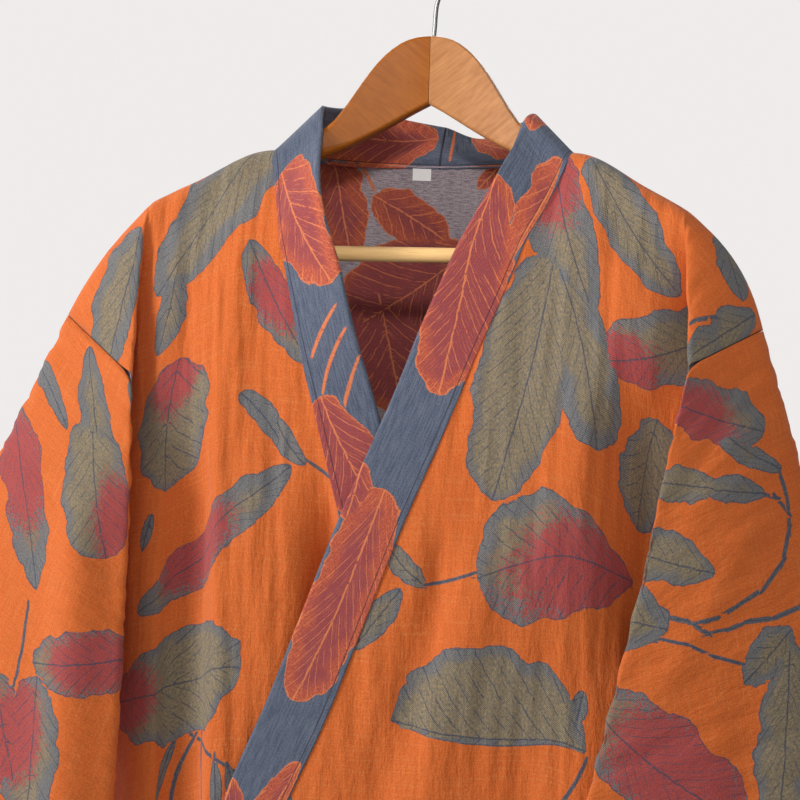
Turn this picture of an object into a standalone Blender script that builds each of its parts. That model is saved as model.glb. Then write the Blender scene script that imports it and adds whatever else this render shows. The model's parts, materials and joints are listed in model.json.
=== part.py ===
# Kimono robe hanging on a wooden clothes hanger.
# Frame: metres, +Z up, the front faces -Y, the wearer's left is +X.
# The origin is the inner top of the hanger's hook, where it hangs on a rail.
#
# The cloth is one sheet in two layers, front and back, folded along the shoulder line.
# A point of it is named by its place on the cut: s metres across from the centre line
# and t metres down from the shoulder line. Past the armhole seam the sleeve goes on.
import math

import bmesh
import bpy
import numpy as np

# Sizes of the cut
HALF_SHOULDER = 0.338      # centre line to armhole seam, along the shoulder
HALF_BODY = 0.300          # centre line to side seam
HALF_NECK = 0.118          # centre line to the collar seam at the shoulder
ARMHOLE = 0.280            # shoulder line to underarm, along the armhole seam
SLEEVE_LENGTH = 0.400
HALF_CUFF = 0.262          # half of the way round the sleeve's open end
HEM_Z = -1.320
COLLAR_WIDTH = 0.044
FRONT_EDGE_OVER = 0.190    # how far the upper front laps past the centre line
FRONT_EDGE_UNDER = 0.110   # and the lower front

# Thicknesses and gaps
CLOTH = 0.0015
COLLAR_THICK = 0.0030
SEAM = 0.0008              # slit left between two sewn pieces
UNDERARM_SLIT = 0.0098     # more cloth left out at the underarm, hidden in the folds
FOLD_SLIT = 0.0030         # and where the armhole seam passes under the fold
LAP = 0.0080               # the upper front stands this far before the lower one
REST = 0.0012              # cloth above the hanger's arm

# Hanger
ARM_SPAN = 0.215
BOW = 0.052                # the arms' ends stand this far before the middle
ARM_HALF_MID = 0.0075      # half thickness at the middle
ARM_HALF_END = 0.0170      # and at the ends
BAR_RADIUS = 0.0060
BAR_Z = -0.2597
BAR_HALF = 0.1857
HOOK_INNER = 0.0195
WIRE = 0.0018

# Shoulder line, for each side: place on the cut, distance from the middle, height
SHOULDER = {
    1: dict(
        s=(0.0, 0.118, 0.190, 0.2215, 0.241, 0.262, 0.297, 0.338),
        x=(0.0, 0.121, 0.1857, 0.2142, 0.2295, 0.2452, 0.2613, 0.2768),
        z=(-0.1758, -0.1758, -0.2060, -0.2215, -0.2303, -0.2439, -0.2742, -0.3123)),
    -1: dict(
        s=(0.0, 0.118, 0.190, 0.2215, 0.2630, 0.3000, 0.338),
        x=(0.0, 0.121, 0.1857, 0.2142, 0.2442, 0.2668, 0.2878),
        z=(-0.1758, -0.1758, -0.2060, -0.2215, -0.2487, -0.2800, -0.3123)),
}
# Collar seam on each front: height and distance from the centre line on its own side
COLLAR_SEAM = {
    1: dict(
        z=(-0.1758, -0.2155, -0.2592, -0.2920, -0.3464, -0.3897, -0.4825, -0.5670, -0.6318,
           -0.6842, -0.800, -0.955),
        x=(0.1210, 0.1078, 0.0882, 0.0756, 0.0540, 0.0393, 0.0035, -0.0257, -0.0490,
           -0.0716, -0.1212, -0.1880)),
    -1: dict(
        z=(-0.1758, -0.2294, -0.2623, -0.3028, -0.3535, -0.3949, -0.4439, -0.4733, -0.600,
           -0.800, -0.955),
        x=(0.1210, 0.1066, 0.0985, 0.0884, 0.0751, 0.0625, 0.0482, 0.0395, 0.0027,
           -0.0580, -0.1080)),
}
COLLAR_END_Z = -0.945
# Collar band, from its seam to its free edge: way along the seam from the centre back,
# and the step across (own side, depth, height). The rest of the band follows the front.
BAND = {
    1: dict(
        v=(0.0, 0.040, 0.080, 0.118, 0.142, 0.166, 0.192, 0.235),
        x=(0.0, -0.012, -0.016, -0.0335, -0.0335, -0.0310, -0.0330, -0.0385),
        y=(0.024, 0.030, 0.030, 0.0200, 0.0180, 0.0100, 0.0000, -0.0060),
        z=(0.034, 0.0245, 0.0370, 0.0325, 0.0390, 0.0380, 0.0280, 0.0200)),
    -1: dict(
        v=(0.0, 0.040, 0.080, 0.118, 0.142, 0.166, 0.192, 0.235),
        x=(0.0, -0.011, -0.0135, -0.0310, -0.0310, -0.0310, -0.0330, -0.0360),
        y=(0.024, 0.020, 0.0250, 0.0280, 0.0220, 0.0060, -0.0080, -0.0180),
        z=(0.034, 0.0385, 0.0480, 0.0400, 0.0380, 0.0360, 0.0280, 0.0160)),
}
BAND_TABLE_END = 0.235
# Sleeve, by the way a along it. ridge: top fold. front and back: edges of the folds that lap
# over the body. under: the underarm seam. Columns are own side, depth, height.
SLEEVE_A = (0.0, 0.1, 0.2, 0.3, 0.4)
SLEEVE = {
    1: dict(
        ridge=dict(x=(0.2768, 0.3050, 0.3345, 0.3640, 0.3940),
                   y=(-0.045, -0.049, -0.056, -0.063, -0.070),
                   z=(-0.3123, -0.4020, -0.5000, -0.5975, -0.6950)),
        front=dict(x=(0.2220, 0.2040, 0.1850, 0.1640, 0.1420),
                   y=(-0.093, -0.102, -0.112, -0.120, -0.126),
                   z=(-0.3450, -0.4350, -0.5330, -0.6330, -0.7350)),
        back=dict(x=(0.2150, 0.2400, 0.2780, 0.2350, 0.1420),
                  y=(0.002, 0.002, -0.032, -0.094, -0.110),
                  z=(-0.3450, -0.4500, -0.5600, -0.6550, -0.7350)),
        under=dict(x=(0.2680, 0.2870, 0.2750, 0.2120, 0.1415),
                   y=(-0.038, -0.048, -0.074, -0.104, -0.118),
                   z=(-0.5000, -0.5480, -0.6020, -0.6700, -0.7360))),
    -1: dict(
        ridge=dict(x=(0.2878, 0.3300, 0.3730, 0.4160, 0.4590),
                   y=(-0.045, -0.049, -0.056, -0.063, -0.070),
                   z=(-0.3123, -0.4030, -0.4930, -0.5830, -0.6740)),
        front=dict(x=(0.2140, 0.2100, 0.2090, 0.2110, 0.2180),
                   y=(-0.093, -0.098, -0.102, -0.105, -0.107),
                   z=(-0.3650, -0.4600, -0.5600, -0.6600, -0.7600)),
        back=dict(x=(0.2150, 0.2350, 0.2640, 0.2640, 0.2180),
                  y=(0.002, 0.002, -0.018, -0.055, -0.091),
                  z=(-0.3650, -0.4550, -0.5550, -0.6600, -0.7600)),
        under=dict(x=(0.2680, 0.2840, 0.2820, 0.2530, 0.2175),
                   y=(-0.038, -0.045, -0.056, -0.077, -0.099),
                   z=(-0.5000, -0.5650, -0.6300, -0.7000, -0.7610))),
}
FOLD_ON_RING = 0.114       # way round the armhole from the shoulder to the sleeve's fold edge
UNDERARM = (0.268, -0.038, -0.500)
# Arm of the hanger: distance from the middle, top, underside
ARM = dict(
    x=(0.0, 0.008, 0.018, 0.0305, 0.042, 0.054, 0.066, 0.075, 0.085, 0.102, 0.118),
    top=(-0.0793, -0.0799, -0.0825, -0.0903, -0.1018, -0.1188, -0.1372, -0.1492, -0.1575,
         -0.1677, -0.1773),
    low=(-0.1348, -0.1390, -0.1447, -0.1523, -0.1590, -0.1656, -0.1719, -0.1762, -0.1808,
         -0.1900, -0.2005))
# Soft folds of the fronts: from (s0, z0) to (s1, z1), width across, height (+ is forward)
FOLDS = {
    1: (
        dict(s0=0.150, z0=-0.24, s1=0.172, z1=-0.42, wide=0.016, high=-0.0050),
        dict(s0=0.195, z0=-0.25, s1=0.120, z1=-0.50, wide=0.020, high=0.0050),
        dict(s0=0.045, z0=-0.47, s1=-0.030, z1=-0.80, wide=0.013, high=-0.0045),
        dict(s0=0.075, z0=-0.47, s1=0.000, z1=-0.85, wide=0.014, high=0.0045),
        dict(s0=0.120, z0=-0.55, s1=0.050, z1=-1.25, wide=0.022, high=-0.0050),
        dict(s0=0.165, z0=-0.60, s1=0.130, z1=-1.32, wide=0.024, high=0.0080),
        dict(s0=-0.080, z0=-0.80, s1=-0.100, z1=-1.32, wide=0.022, high=0.0040),
    ),
    -1: (
        dict(s0=0.150, z0=-0.22, s1=0.132, z1=-1.32, wide=0.016, high=0.0060),
        dict(s0=0.100, z0=-0.42, s1=0.098, z1=-1.10, wide=0.016, high=-0.0070),
        dict(s0=0.176, z0=-0.24, s1=0.170, z1=-0.95, wide=0.013, high=-0.0055),
        dict(s0=0.070, z0=-0.62, s1=0.050, z1=-1.32, wide=0.020, high=0.0030),
    ),
}
BACK_FOLDS = (
    dict(s0=0.140, z0=-0.22, s1=0.120, z1=-1.32, wide=0.026, high=-0.0090),
    dict(s0=0.070, z0=-0.30, s1=0.060, z1=-1.32, wide=0.024, high=0.0080),
    dict(s0=0.190, z0=-0.40, s1=0.185, z1=-1.32, wide=0.020, high=0.0080),
    dict(s0=-0.150, z0=-0.22, s1=-0.125, z1=-1.32, wide=0.026, high=-0.0090),
    dict(s0=-0.065, z0=-0.30, s1=-0.050, z1=-1.32, wide=0.024, high=0.0080),
    dict(s0=-0.190, z0=-0.40, s1=-0.185, z1=-1.32, wide=0.020, high=0.0080),
)


def soft(q):
    """Smooth step from 0 to 1: 3 q^2 - 2 q^3 on q held to 0..1."""
    q = np.clip(q, 0.0, 1.0)
    return q * q * (3.0 - 2.0 * q)


def curve(q, knots, values):
    """Cubic through a table, flat where the table turns, so it never overshoots."""
    k, v = np.asarray(knots, float), np.asarray(values, float)
    h, d = np.diff(k), np.diff(v) / np.diff(k)
    m = np.empty_like(v)
    m[0], m[-1] = d[0], d[-1]
    same = d[:-1] * d[1:] > 0
    w1, w2 = 2 * h[1:] + h[:-1], h[1:] + 2 * h[:-1]
    with np.errstate(divide="ignore", invalid="ignore"):
        m[1:-1] = np.where(same, (w1 + w2) / (w1 / d[:-1] + w2 / d[1:]), 0.0)
    q = np.clip(q, k[0], k[-1])
    i = np.clip(np.searchsorted(k, q, side="right") - 1, 0, len(h) - 1)
    u = (q - k[i]) / h[i]
    return (v[i] * (1 + 2 * u) * (1 - u) ** 2 + m[i] * h[i] * u * (1 - u) ** 2
            + v[i + 1] * u * u * (3 - 2 * u) + m[i + 1] * h[i] * u * u * (u - 1))


def by_side(side, function):
    """function(1) where side is +1 and function(-1) where it is -1."""
    return np.where(side > 0, function(1), function(-1))


def bow(x):
    """Depth of the hanger's middle plane; it comes forward towards the arms' ends."""
    a = np.abs(x)
    return -BOW * (np.minimum(a, ARM_SPAN) / ARM_SPAN) ** 1.4 + 0.10 * np.clip(a - ARM_SPAN, 0.0, 0.07)


def arm_half(x):
    """Half thickness of the arm at x."""
    return ARM_HALF_MID + (ARM_HALF_END - ARM_HALF_MID) * (np.minimum(np.abs(x), ARM_SPAN) / ARM_SPAN) ** 1.5


def over_ridge(t, r):
    """Way down and way out when a layer runs t along from a ridge rounded to radius r."""
    q = np.minimum(t / r, 0.5 * math.pi)
    return r * (1 - np.cos(q)) + np.maximum(t - 0.5 * math.pi * r, 0.0), r * np.sin(q)


def shoulder(s):
    """Signed x, depth and height of the shoulder line at s, and its ridge radius."""
    side, a = np.where(s < 0, -1, 1), np.abs(s)
    x = by_side(side, lambda k: curve(a, SHOULDER[k]["s"], SHOULDER[k]["x"]))
    z = by_side(side, lambda k: curve(a, SHOULDER[k]["s"], SHOULDER[k]["z"]))
    r = arm_half(x) + 0.5 * CLOTH + REST
    r = r + (0.0065 - r) * soft((a - 0.222) / 0.05)
    return side * x, bow(x), z, r


def neck_back(s):
    """Depth and height of the back neck seam, which swings back behind the hanger."""
    q = np.clip(np.abs(s) / HALF_NECK, 0.0, 1.0)
    y_neck = float(bow(0.121))
    return 0.048 + (y_neck - 0.048) * q ** 5.5, -0.1795 + 0.0037 * q ** 1.5


def free_body(s, t, layer, over):
    """Body cloth inside the hanger's ends, hanging straight down from the shoulder line."""
    x, y_top, z_top, r = shoulder(s)
    a = np.abs(s)
    inside = a < HALF_NECK
    y_neck, z_neck = neck_back(s)
    back = layer > 0
    r_here = np.where(inside & back, np.maximum(r * soft(a / HALF_NECK), 0.0005), r)
    y_top = np.where(inside, np.where(back, y_neck, float(bow(0.121))), y_top)
    z_top = np.where(inside & back, z_neck, z_top)
    down, out = over_ridge(t, r_here)
    z = z_top - down
    q = np.minimum(np.abs(x) / 0.20, 1.0)
    low = soft((-z - 0.20) / 0.45)
    y_front = -(0.074 + 0.024 * low) + 0.008 * low * q ** 2
    y_back = (0.048 - 0.010 * low) - (0.062 - 0.004 * low) * q ** 2
    k = soft(t / 0.085)
    y = (y_top + layer * out) * (1 - k) + np.where(back, y_back, y_front) * k
    lap = over * (layer < 0) * LAP * soft((0.20 - s) / 0.09) * soft((-z - 0.33) / 0.07)
    return np.stack([x, y - lap, z], -1)


def side_line(side, down):
    """Side seam, down metres below the underarm."""
    x0, y0, z0 = UNDERARM
    length = side_length(side)
    z = z0 + (HEM_Z - z0) * down / length
    x = x0 - 0.018 * soft(-(z - z0) / 0.16) + 0.008 * soft((-z - 0.9) / 0.4)
    return np.stack([side * x, y0 + 0.008 * soft(-(z - z0) / 0.5) + 0 * x, z], -1)


def side_length(side):
    """Side seam's length on the cut, from the underarm to the hem."""
    z = by_side(side, lambda k: curve(HALF_BODY, SHOULDER[k]["s"], SHOULDER[k]["z"]))
    return z - HEM_Z - ARMHOLE


def body_length(s):
    """Length of the cut at s, from the shoulder line to the hem."""
    side, a = np.where(s < 0, -1, 1), np.abs(s)
    _, _, z, r = shoulder(side * np.minimum(a, 0.20))
    inner = z - HEM_Z + (0.5 * math.pi - 1) * r
    return inner + (ARMHOLE + side_length(side) - inner) * np.clip((a - 0.20) / (HALF_BODY - 0.20), 0, 1)


def armhole_s(t):
    """Place across the cut of the armhole seam, t below the shoulder."""
    return HALF_SHOULDER - (HALF_SHOULDER - HALF_BODY) * np.clip(t / ARMHOLE, 0.0, 1.0)


def sleeve_line(side, name, a):
    """Point of one of the sleeve's four guide lines."""
    def column(c):
        return by_side(side, lambda k: curve(a, SLEEVE_A, SLEEVE[k][name][c]))
    return np.stack([side * column("x"), column("y"), column("z")], -1)


def fold_place(a):
    """Way round from the ridge to the fold edge, and to the underarm seam."""
    u = np.clip(a / SLEEVE_LENGTH, 0.0, 1.0)
    around = ARMHOLE + (HALF_CUFF - ARMHOLE) * u
    return FOLD_ON_RING + (0.97 * around - FOLD_ON_RING) * u ** 0.9, around


def mix(p, q, f):
    return p + (q - p) * f[..., None]


def raw_sleeve(side, a, b, layer):
    """Sleeve cloth before its folds are rounded: a along, b around from the ridge."""
    fold, around = fold_place(a)
    layer = np.where(b < 0, -layer, layer)
    b = np.abs(b)
    layer = np.where(b > around, -layer, layer)
    b = np.where(b > around, 2 * around - b, b)
    top = sleeve_line(side, "ridge", a)
    edge = np.where(layer[..., None] < 0, sleeve_line(side, "front", a), sleeve_line(side, "back", a))
    under = sleeve_line(side, "under", a)
    down, out = over_ridge(np.minimum(b, fold), 0.0065)
    k = down / over_ridge(fold, 0.0065)[0]
    upper = mix(top, edge, k)
    upper[..., 1] += layer * (out * (1 - k) + 0.010 * np.sin(math.pi * k) * soft(a / 0.12))
    f = np.clip((b - fold) / (around - fold), 0.0, 1.0)
    return np.where((b <= fold)[..., None], upper, mix(edge, under, f))


def raw_sheet(s, t, layer, over, home):
    """The whole sheet before rounding. home is "body" or "sleeve", for the cloth beyond a seam."""
    layer = np.where(t < 0, -layer, layer)
    t = np.abs(t)
    side, a = np.where(s < 0, -1, 1), np.abs(s)
    if home == "body":
        beyond = (t > ARMHOLE) & (a > HALF_BODY)
        layer = np.where(beyond, -layer, layer)
        a = np.where(beyond, 2 * HALF_BODY - a, a)
    seam = armhole_s(t)
    hip = side * 0.20
    free = free_body(np.where(a < 0.20, side * a, hip), t, layer, over)
    _, y_h, z_h, r_h = shoulder(side * 0.2215)
    end = np.stack([side * 0.2142, y_h, z_h], -1)
    down, out = over_ridge(t, r_h)
    k_under = np.clip(down / over_ridge(ARMHOLE, r_h)[0], 0.0, 1.0)
    k_fold = np.clip(down / over_ridge(FOLD_ON_RING, r_h)[0], 0.0, 1.0)
    under = np.array(UNDERARM) * np.stack([side, np.ones_like(a), np.ones_like(a)], -1)
    first = np.where(layer[..., None] < 0, sleeve_line(side, "front", np.zeros_like(a)),
                     sleeve_line(side, "back", np.zeros_like(a)))
    valley = mix(end, under, k_under)
    valley[..., 1] += layer * out * (1 - k_under)
    valley = np.where((t > ARMHOLE)[..., None], side_line(side, t - ARMHOLE), valley)
    edge = mix(end, first, k_fold)
    edge[..., 1] += layer * out * (1 - k_fold)
    rim = raw_sleeve(side, np.zeros_like(a), np.minimum(t, ARMHOLE), layer)
    s_valley = 0.2215 + (HALF_BODY - 0.2215) * np.clip(t / ARMHOLE, 0.0, 1.0)
    s_edge = 0.2215 + (armhole_s(FOLD_ON_RING) - 0.2215) * np.clip(t / FOLD_ON_RING, 0.0, 1.0)
    upper = t < FOLD_ON_RING
    s_edge, edge = np.where(upper, s_edge, seam), np.where(upper[..., None], edge, rim)

    def part(lo, hi):
        return np.clip((a - lo) / np.maximum(hi - lo, 1e-4), 0.0, 1.0)
    p = mix(free, valley, part(0.20, s_valley))
    p = np.where((a > s_valley)[..., None], mix(valley, edge, part(s_valley, s_edge)), p)
    f = part(s_edge, seam)
    cap = mix(edge, rim, f)
    # the shoulder line past the hanger's end swells above the straight line
    swell = 4 * f * (1 - f) * (1 - k_fold) * np.where(side > 0, 0.011, 0.006)
    cap = cap + swell[..., None] * np.stack([side * 0.8, 0 * a, 0.6 + 0 * a], -1)
    p = np.where(((a > s_edge) & upper)[..., None], cap, p)
    sleeve = raw_sleeve(side, np.maximum(a - seam, 0.0), t, layer)
    return np.where((a > seam)[..., None] & (home == "sleeve" or (t <= ARMHOLE)[..., None]), sleeve, p)


def fold_field(folds, s, z):
    """Sum of soft ridges and troughs, each a bell across its own line."""
    total = np.zeros_like(s)
    for f in folds:
        ds, dz = f["s1"] - f["s0"], f["z1"] - f["z0"]
        n = math.hypot(ds, dz)
        along = ((s - f["s0"]) * ds + (z - f["z0"]) * dz) / n
        across = ((s - f["s0"]) * dz - (z - f["z0"]) * ds) / n
        bell = np.exp(-0.5 * (across / f["wide"]) ** 2)
        total += f["high"] * bell * soft(along / 0.12 + 0.3) * soft((n - along) / 0.10 + 0.5)
    return total


def sheet(s, t, layer, over=0.0, home="body"):
    """Point of the cloth at (s, t): the raw sheet averaged over a few millimetres of cloth,
    which rounds every fold, plus the soft folds of the body."""
    s, t = np.broadcast_arrays(np.asarray(s, float), np.asarray(t, float))
    layer = np.broadcast_to(np.asarray(layer, float), s.shape)
    # rounding is tighter at the underarm, where three folds meet
    tight = 0.60 + 0.40 * soft(np.hypot(np.abs(s) - HALF_BODY, t - ARMHOLE) / 0.07)
    across = 0.012 * soft((np.abs(s) - 0.15) / 0.05) * tight
    along = 0.012 * soft((np.abs(s) - 0.216) / 0.03) * tight
    total, weight = np.zeros(s.shape + (3,)), 0.0
    for i in (-1.0, -0.5, 0.0, 0.5, 1.0):
        for j in (-1.0, -0.5, 0.0, 0.5, 1.0):
            w = (1.3 - abs(i)) * (1.3 - abs(j))
            total += w * raw_sheet(s + i * across, t + j * along, layer, over, home)
            weight += w
    p = total / weight
    if home == "body":
        gain = soft((t - 0.02) / 0.10) * soft((0.235 - np.abs(s)) / 0.04)
        own = np.where(layer > 0, fold_field(BACK_FOLDS, s, p[..., 2]),
                       fold_field(FOLDS[1 if over else -1], s if over else -s, p[..., 2]))
        p[..., 1] += layer * gain * own
    return p


def collar_s(side, t):
    """Where the collar seam crosses the row t below the shoulder (own side positive)."""
    z = -0.1758 - t
    edge = -(FRONT_EDGE_OVER if side > 0 else FRONT_EDGE_UNDER)
    x = curve(z, COLLAR_SEAM[side]["z"][::-1], COLLAR_SEAM[side]["x"][::-1])
    return np.where(z < COLLAR_SEAM[side]["z"][-1], edge, x) * HALF_NECK / 0.121


def normals(grid):
    """Unit normals of an open grid: the mean of the unit normals of the faces round a point."""
    e0, e1 = np.diff(grid, axis=1), np.diff(grid, axis=0)
    total = np.zeros_like(grid)
    for i, j in ((0, 0), (0, 1), (1, 0), (1, 1)):
        # the corner (i, j) of every face, with the two edges that meet there
        rows, cols = slice(i, grid.shape[0] - 1 + i), slice(j, grid.shape[1] - 1 + j)
        n = np.cross(e0[rows], e1[:, cols])
        total[rows, cols] += n / np.maximum(np.linalg.norm(n, axis=-1, keepdims=True), 1e-12)
    return total / np.maximum(np.linalg.norm(total, axis=-1, keepdims=True), 1e-12)


def material(name, colour, roughness, metallic=0.0):
    m = bpy.data.materials.new(name)
    m.use_nodes = True
    shader = m.node_tree.nodes["Principled BSDF"]
    shader.inputs["Base Color"].default_value = (*colour, 1.0)
    shader.inputs["Roughness"].default_value = roughness
    shader.inputs["Metallic"].default_value = metallic
    return m


def add_object(name, points, faces, mat):
    """Mesh object, its faces turned outwards and shaded smooth."""
    mesh = bpy.data.meshes.new(name)
    mesh.from_pydata([tuple(p) for p in points], [], faces)
    bm = bmesh.new()
    bm.from_mesh(mesh)
    bmesh.ops.recalc_face_normals(bm, faces=bm.faces)
    bm.to_mesh(mesh)
    bm.free()
    mesh.materials.append(mat)
    mesh.shade_smooth()
    mesh.set_sharp_from_angle(angle=math.radians(40))
    obj = bpy.data.objects.new(name, mesh)
    bpy.context.scene.collection.objects.link(obj)
    return obj


def wall(name, grid, n, thick, mat, wrap=False):
    """Solid wall on a grid of mid-surface points and normals: two skins joined round their rims."""
    rows, cols = grid.shape[:2]
    points = np.concatenate([(grid + 0.5 * thick * n).reshape(-1, 3),
                             (grid - 0.5 * thick * n).reshape(-1, 3)])
    under = rows * cols
    ring = [(j, (j + 1) % cols) for j in range(cols if wrap else cols - 1)]
    faces = []
    for i in range(rows - 1):
        for j, k in ring:
            # both skins are cut along the same diagonal, so they never cross
            p, q, r, u = i * cols + j, i * cols + k, (i + 1) * cols + k, (i + 1) * cols + j
            faces += [(p, q, r), (p, r, u)]
            faces += [(under + r, under + q, under + p), (under + u, under + r, under + p)]
    for j, k in ring:
        last = (rows - 1) * cols
        faces += [(under + j, under + k, k, j), (last + j, last + k, under + last + k, under + last + j)]
    if not wrap:
        for i in range(rows - 1):
            p, q = i * cols, (i + 1) * cols
            r = cols - 1
            faces += [(p, q, under + q, under + p), (under + p + r, under + q + r, q + r, p + r)]
    return add_object(name, points, faces, mat)


# Rows of cloth from the shoulder to the underarm, then shares of the way on to the hem
ROWS_ARM = np.array([0.0, 0.007, 0.014, 0.022, 0.040, 0.065, 0.090, 0.114, 0.136, 0.165, 0.200,
                     0.240, 0.280])
ROWS_LOW = np.array([0.04, 0.10, 0.17, 0.26, 0.36, 0.47, 0.60, 0.73, 0.87, 1.0])


def row_t(s, row):
    """t of row number row at s: fixed to the underarm, then shared out down to the hem."""
    top = len(ROWS_ARM)
    if row < top:
        return np.maximum(ROWS_ARM[row], 0.5 * SEAM) + 0 * s
    share = ROWS_LOW[row - top]
    return ARMHOLE + (body_length(s) - ARMHOLE) * share


def slit(side, t, layer, over=0.0):
    """Half of the slit at the armhole and side seams, as a length of cloth. Where the cloth
    turns sharply at the seam its points lie closer together, so more cloth is left out."""
    s, e = side * armhole_s(t), side * 0.0015
    at_side_seam = t > ARMHOLE - 0.001
    inner = sheet(s - e, t, layer, over)
    outer = np.where(at_side_seam[..., None], sheet(s - e, t, -layer),
                     sheet(s + e, t, layer, home="sleeve"))
    speed = np.linalg.norm(outer - inner, axis=-1) / 0.003
    corners = (UNDERARM_SLIT * np.exp(-((t - ARMHOLE) / 0.030) ** 2)
               + FOLD_SLIT * np.exp(-((t - FOLD_ON_RING) / 0.012) ** 2))
    return 0.5 * SEAM / np.clip(speed, 0.16, 1.0) + corners


def outer_columns(t, gap):
    """Columns from s = 0.185 to the seam that keep to the edges of the fold at the armhole."""
    seam = float(armhole_s(t)) - gap
    spread = 0.007 * max(0.0, 1 - t / 0.035)
    valley = min(0.2215 + (HALF_BODY - 0.2215) * min(t / ARMHOLE, 1.0) - spread, seam - 0.022)
    edge = 0.2215 + (float(armhole_s(FOLD_ON_RING)) - 0.2215) * min(t / FOLD_ON_RING, 1.0) + spread
    edge = min(edge, seam - 0.3 * (seam - valley))
    s = [0.185 + (valley - 0.185) * f for f in (0.0, 0.5, 1.0)]
    s += [valley + (edge - valley) * f for f in (0.35, 0.75, 1.0)]
    return np.array(s + [edge + (seam - edge) * f for f in (0.25, 0.5, 0.75, 1.0)])


def before_ridge(s, t, layer, over):
    """A row of points just over the shoulder line, or past the free edge inside the neck."""
    over_top = sheet(s[0], -t[1], layer, over)
    past = 2 * sheet(s[0], t[0], layer, over) - sheet(s[0], t[1], layer, over)
    return np.where((np.abs(s[0]) < 0.13)[:, None], past, over_top)[None]


def front_grid(side):
    """Mid-surface of a front, from the collar seam to the armhole and side seam."""
    over = 1.0 if side > 0 else 0.0
    downs = np.array([float(row_t(np.array(0.15), row)) for row in range(len(ROWS_ARM) + len(ROWS_LOW))])
    gaps = slit(side, downs, -1.0, over)
    s, t = [], []
    for row, down in enumerate(downs):
        inner = float(collar_s(side, down)) + 0.5 * SEAM
        s.append(np.concatenate([np.linspace(inner, 0.185, 10)[:-1], outer_columns(down, gaps[row]),
                                 [float(armhole_s(down)) + 0.010]]))
        t.append(row_t(s[-1], row))
    s, t = side * np.array(s), np.array(t)
    grid = sheet(s, t, -1.0, over)
    n = normals(np.concatenate([before_ridge(s, t, -1.0, over), grid]))
    return grid[:, :-1], n[1:, :-1]


def back_grid():
    """Mid-surface of the back, from one armhole and side seam to the other."""
    downs = np.array([float(row_t(np.array(0.15), row)) for row in range(len(ROWS_ARM) + len(ROWS_LOW))])
    gaps = [slit(side, downs, 1.0) for side in (-1, 1)]
    near = np.array([0.0, 0.030, 0.060, 0.085, 0.100, 0.109, 0.118, 0.140, 0.162])
    s, t = [], []
    for row, down in enumerate(downs):
        right, left = (np.concatenate([near, outer_columns(down, g[row]), [float(armhole_s(down)) + 0.010]])
                       for g in gaps)
        s.append(np.concatenate([-right[:0:-1], left]))
        t.append(row_t(s[-1], row))
    s, t = np.array(s), np.array(t)
    grid = sheet(s, t, 1.0)
    n = normals(np.concatenate([before_ridge(s, t, 1.0, 0.0), grid]))
    return grid[:, 1:-1], n[1:, 1:-1]


def sleeve_grid(side):
    """Mid-surface of a sleeve: rings from the armhole seam to the cuff."""
    a = np.concatenate([[-0.010, 0.0], np.linspace(0.02, SLEEVE_LENGTH, 11)])[:, None]
    fold, around = fold_place(a)
    q = ROWS_ARM[None, :]
    b = np.where(q <= FOLD_ON_RING, q * fold / FOLD_ON_RING,
                 fold + (q - FOLD_ON_RING) * (around - fold) / (ARMHOLE - FOLD_ON_RING))
    b = np.concatenate([b, b[:, -2:0:-1]], 1)
    layer = np.concatenate([-np.ones(q.size), np.ones(q.size - 2)])[None, :] + 0 * b
    a = a + 0 * b
    a[1] = np.where(layer[1] < 0, slit(side, b[1], -1.0), slit(side, b[1], 1.0))
    p = sheet(side * (armhole_s(b) + a), b, layer, home="sleeve")
    n = normals(np.concatenate([p[:, -1:], p, p[:, :1]], 1))
    return p[1:], n[1:, 1:-1]


def collar_seam_point(side, v):
    """Point of the collar seam at v along it from the centre back."""
    behind = v <= HALF_NECK
    back = sheet(side * np.minimum(v, HALF_NECK), 0.0, 1.0)
    t = np.maximum(v - HALF_NECK, 0.0)
    front = sheet(side * collar_s(side, t), t, -1.0, over=1.0 if side > 0 else 0.0)
    return np.where(behind[:, None], back, front)


def collar_grid(side):
    """Mid-surface of one half of the collar, from the centre back to its end on the front."""
    end = HALF_NECK - 0.1758 - COLLAR_END_Z
    v = np.concatenate([[0.5 * SEAM, 0.018, 0.036, 0.054, 0.072, 0.088, 0.100, 0.109, 0.118, 0.124,
                         0.130, 0.137, 0.146, 0.158, 0.174, 0.195, 0.218], np.linspace(0.24, end, 18)])
    seam = collar_seam_point(side, v)
    table = BAND[side]
    step = np.stack([side * curve(v, table["v"], table["x"]), curve(v, table["v"], table["y"]),
                     curve(v, table["v"], table["z"])], -1)
    # lower down the band lies in the front's own surface, square to the seam
    t = np.maximum(v - HALF_NECK, 0.0)
    s0 = collar_s(side, t)
    slope = np.gradient(s0, v)
    size = np.hypot(slope, 1.0)
    edge_limit = s0 + (FRONT_EDGE_OVER if side > 0 else FRONT_EDGE_UNDER)
    width = np.minimum(COLLAR_WIDTH, np.maximum(edge_limit, 0.004) * size)
    s1, t1 = s0 - width / size, t + width * slope / size
    flat = sheet(side * s1, np.maximum(t1, 0.02), -1.0, over=1.0 if side > 0 else 0.0) - seam
    tilt = -0.018 * soft((0.36 - v) / 0.12) * (1.0 if side < 0 else 0.3)
    flat[:, 1] += tilt
    k = soft((v - 0.185) / (BAND_TABLE_END - 0.185))[:, None]
    step = step * (1 - k) + flat * k
    unit = step / np.linalg.norm(step, axis=1, keepdims=True)
    across = np.array([0.0, 0.33, 0.67, 1.0])
    grid = seam[:, None] + step[:, None] * across[None, :, None]
    clear = 0.0024 + (0.0008 - 0.0024) * soft((v - 0.17) / 0.07)
    grid[:, 0] += unit * clear[:, None]
    return grid, normals(grid)


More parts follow.
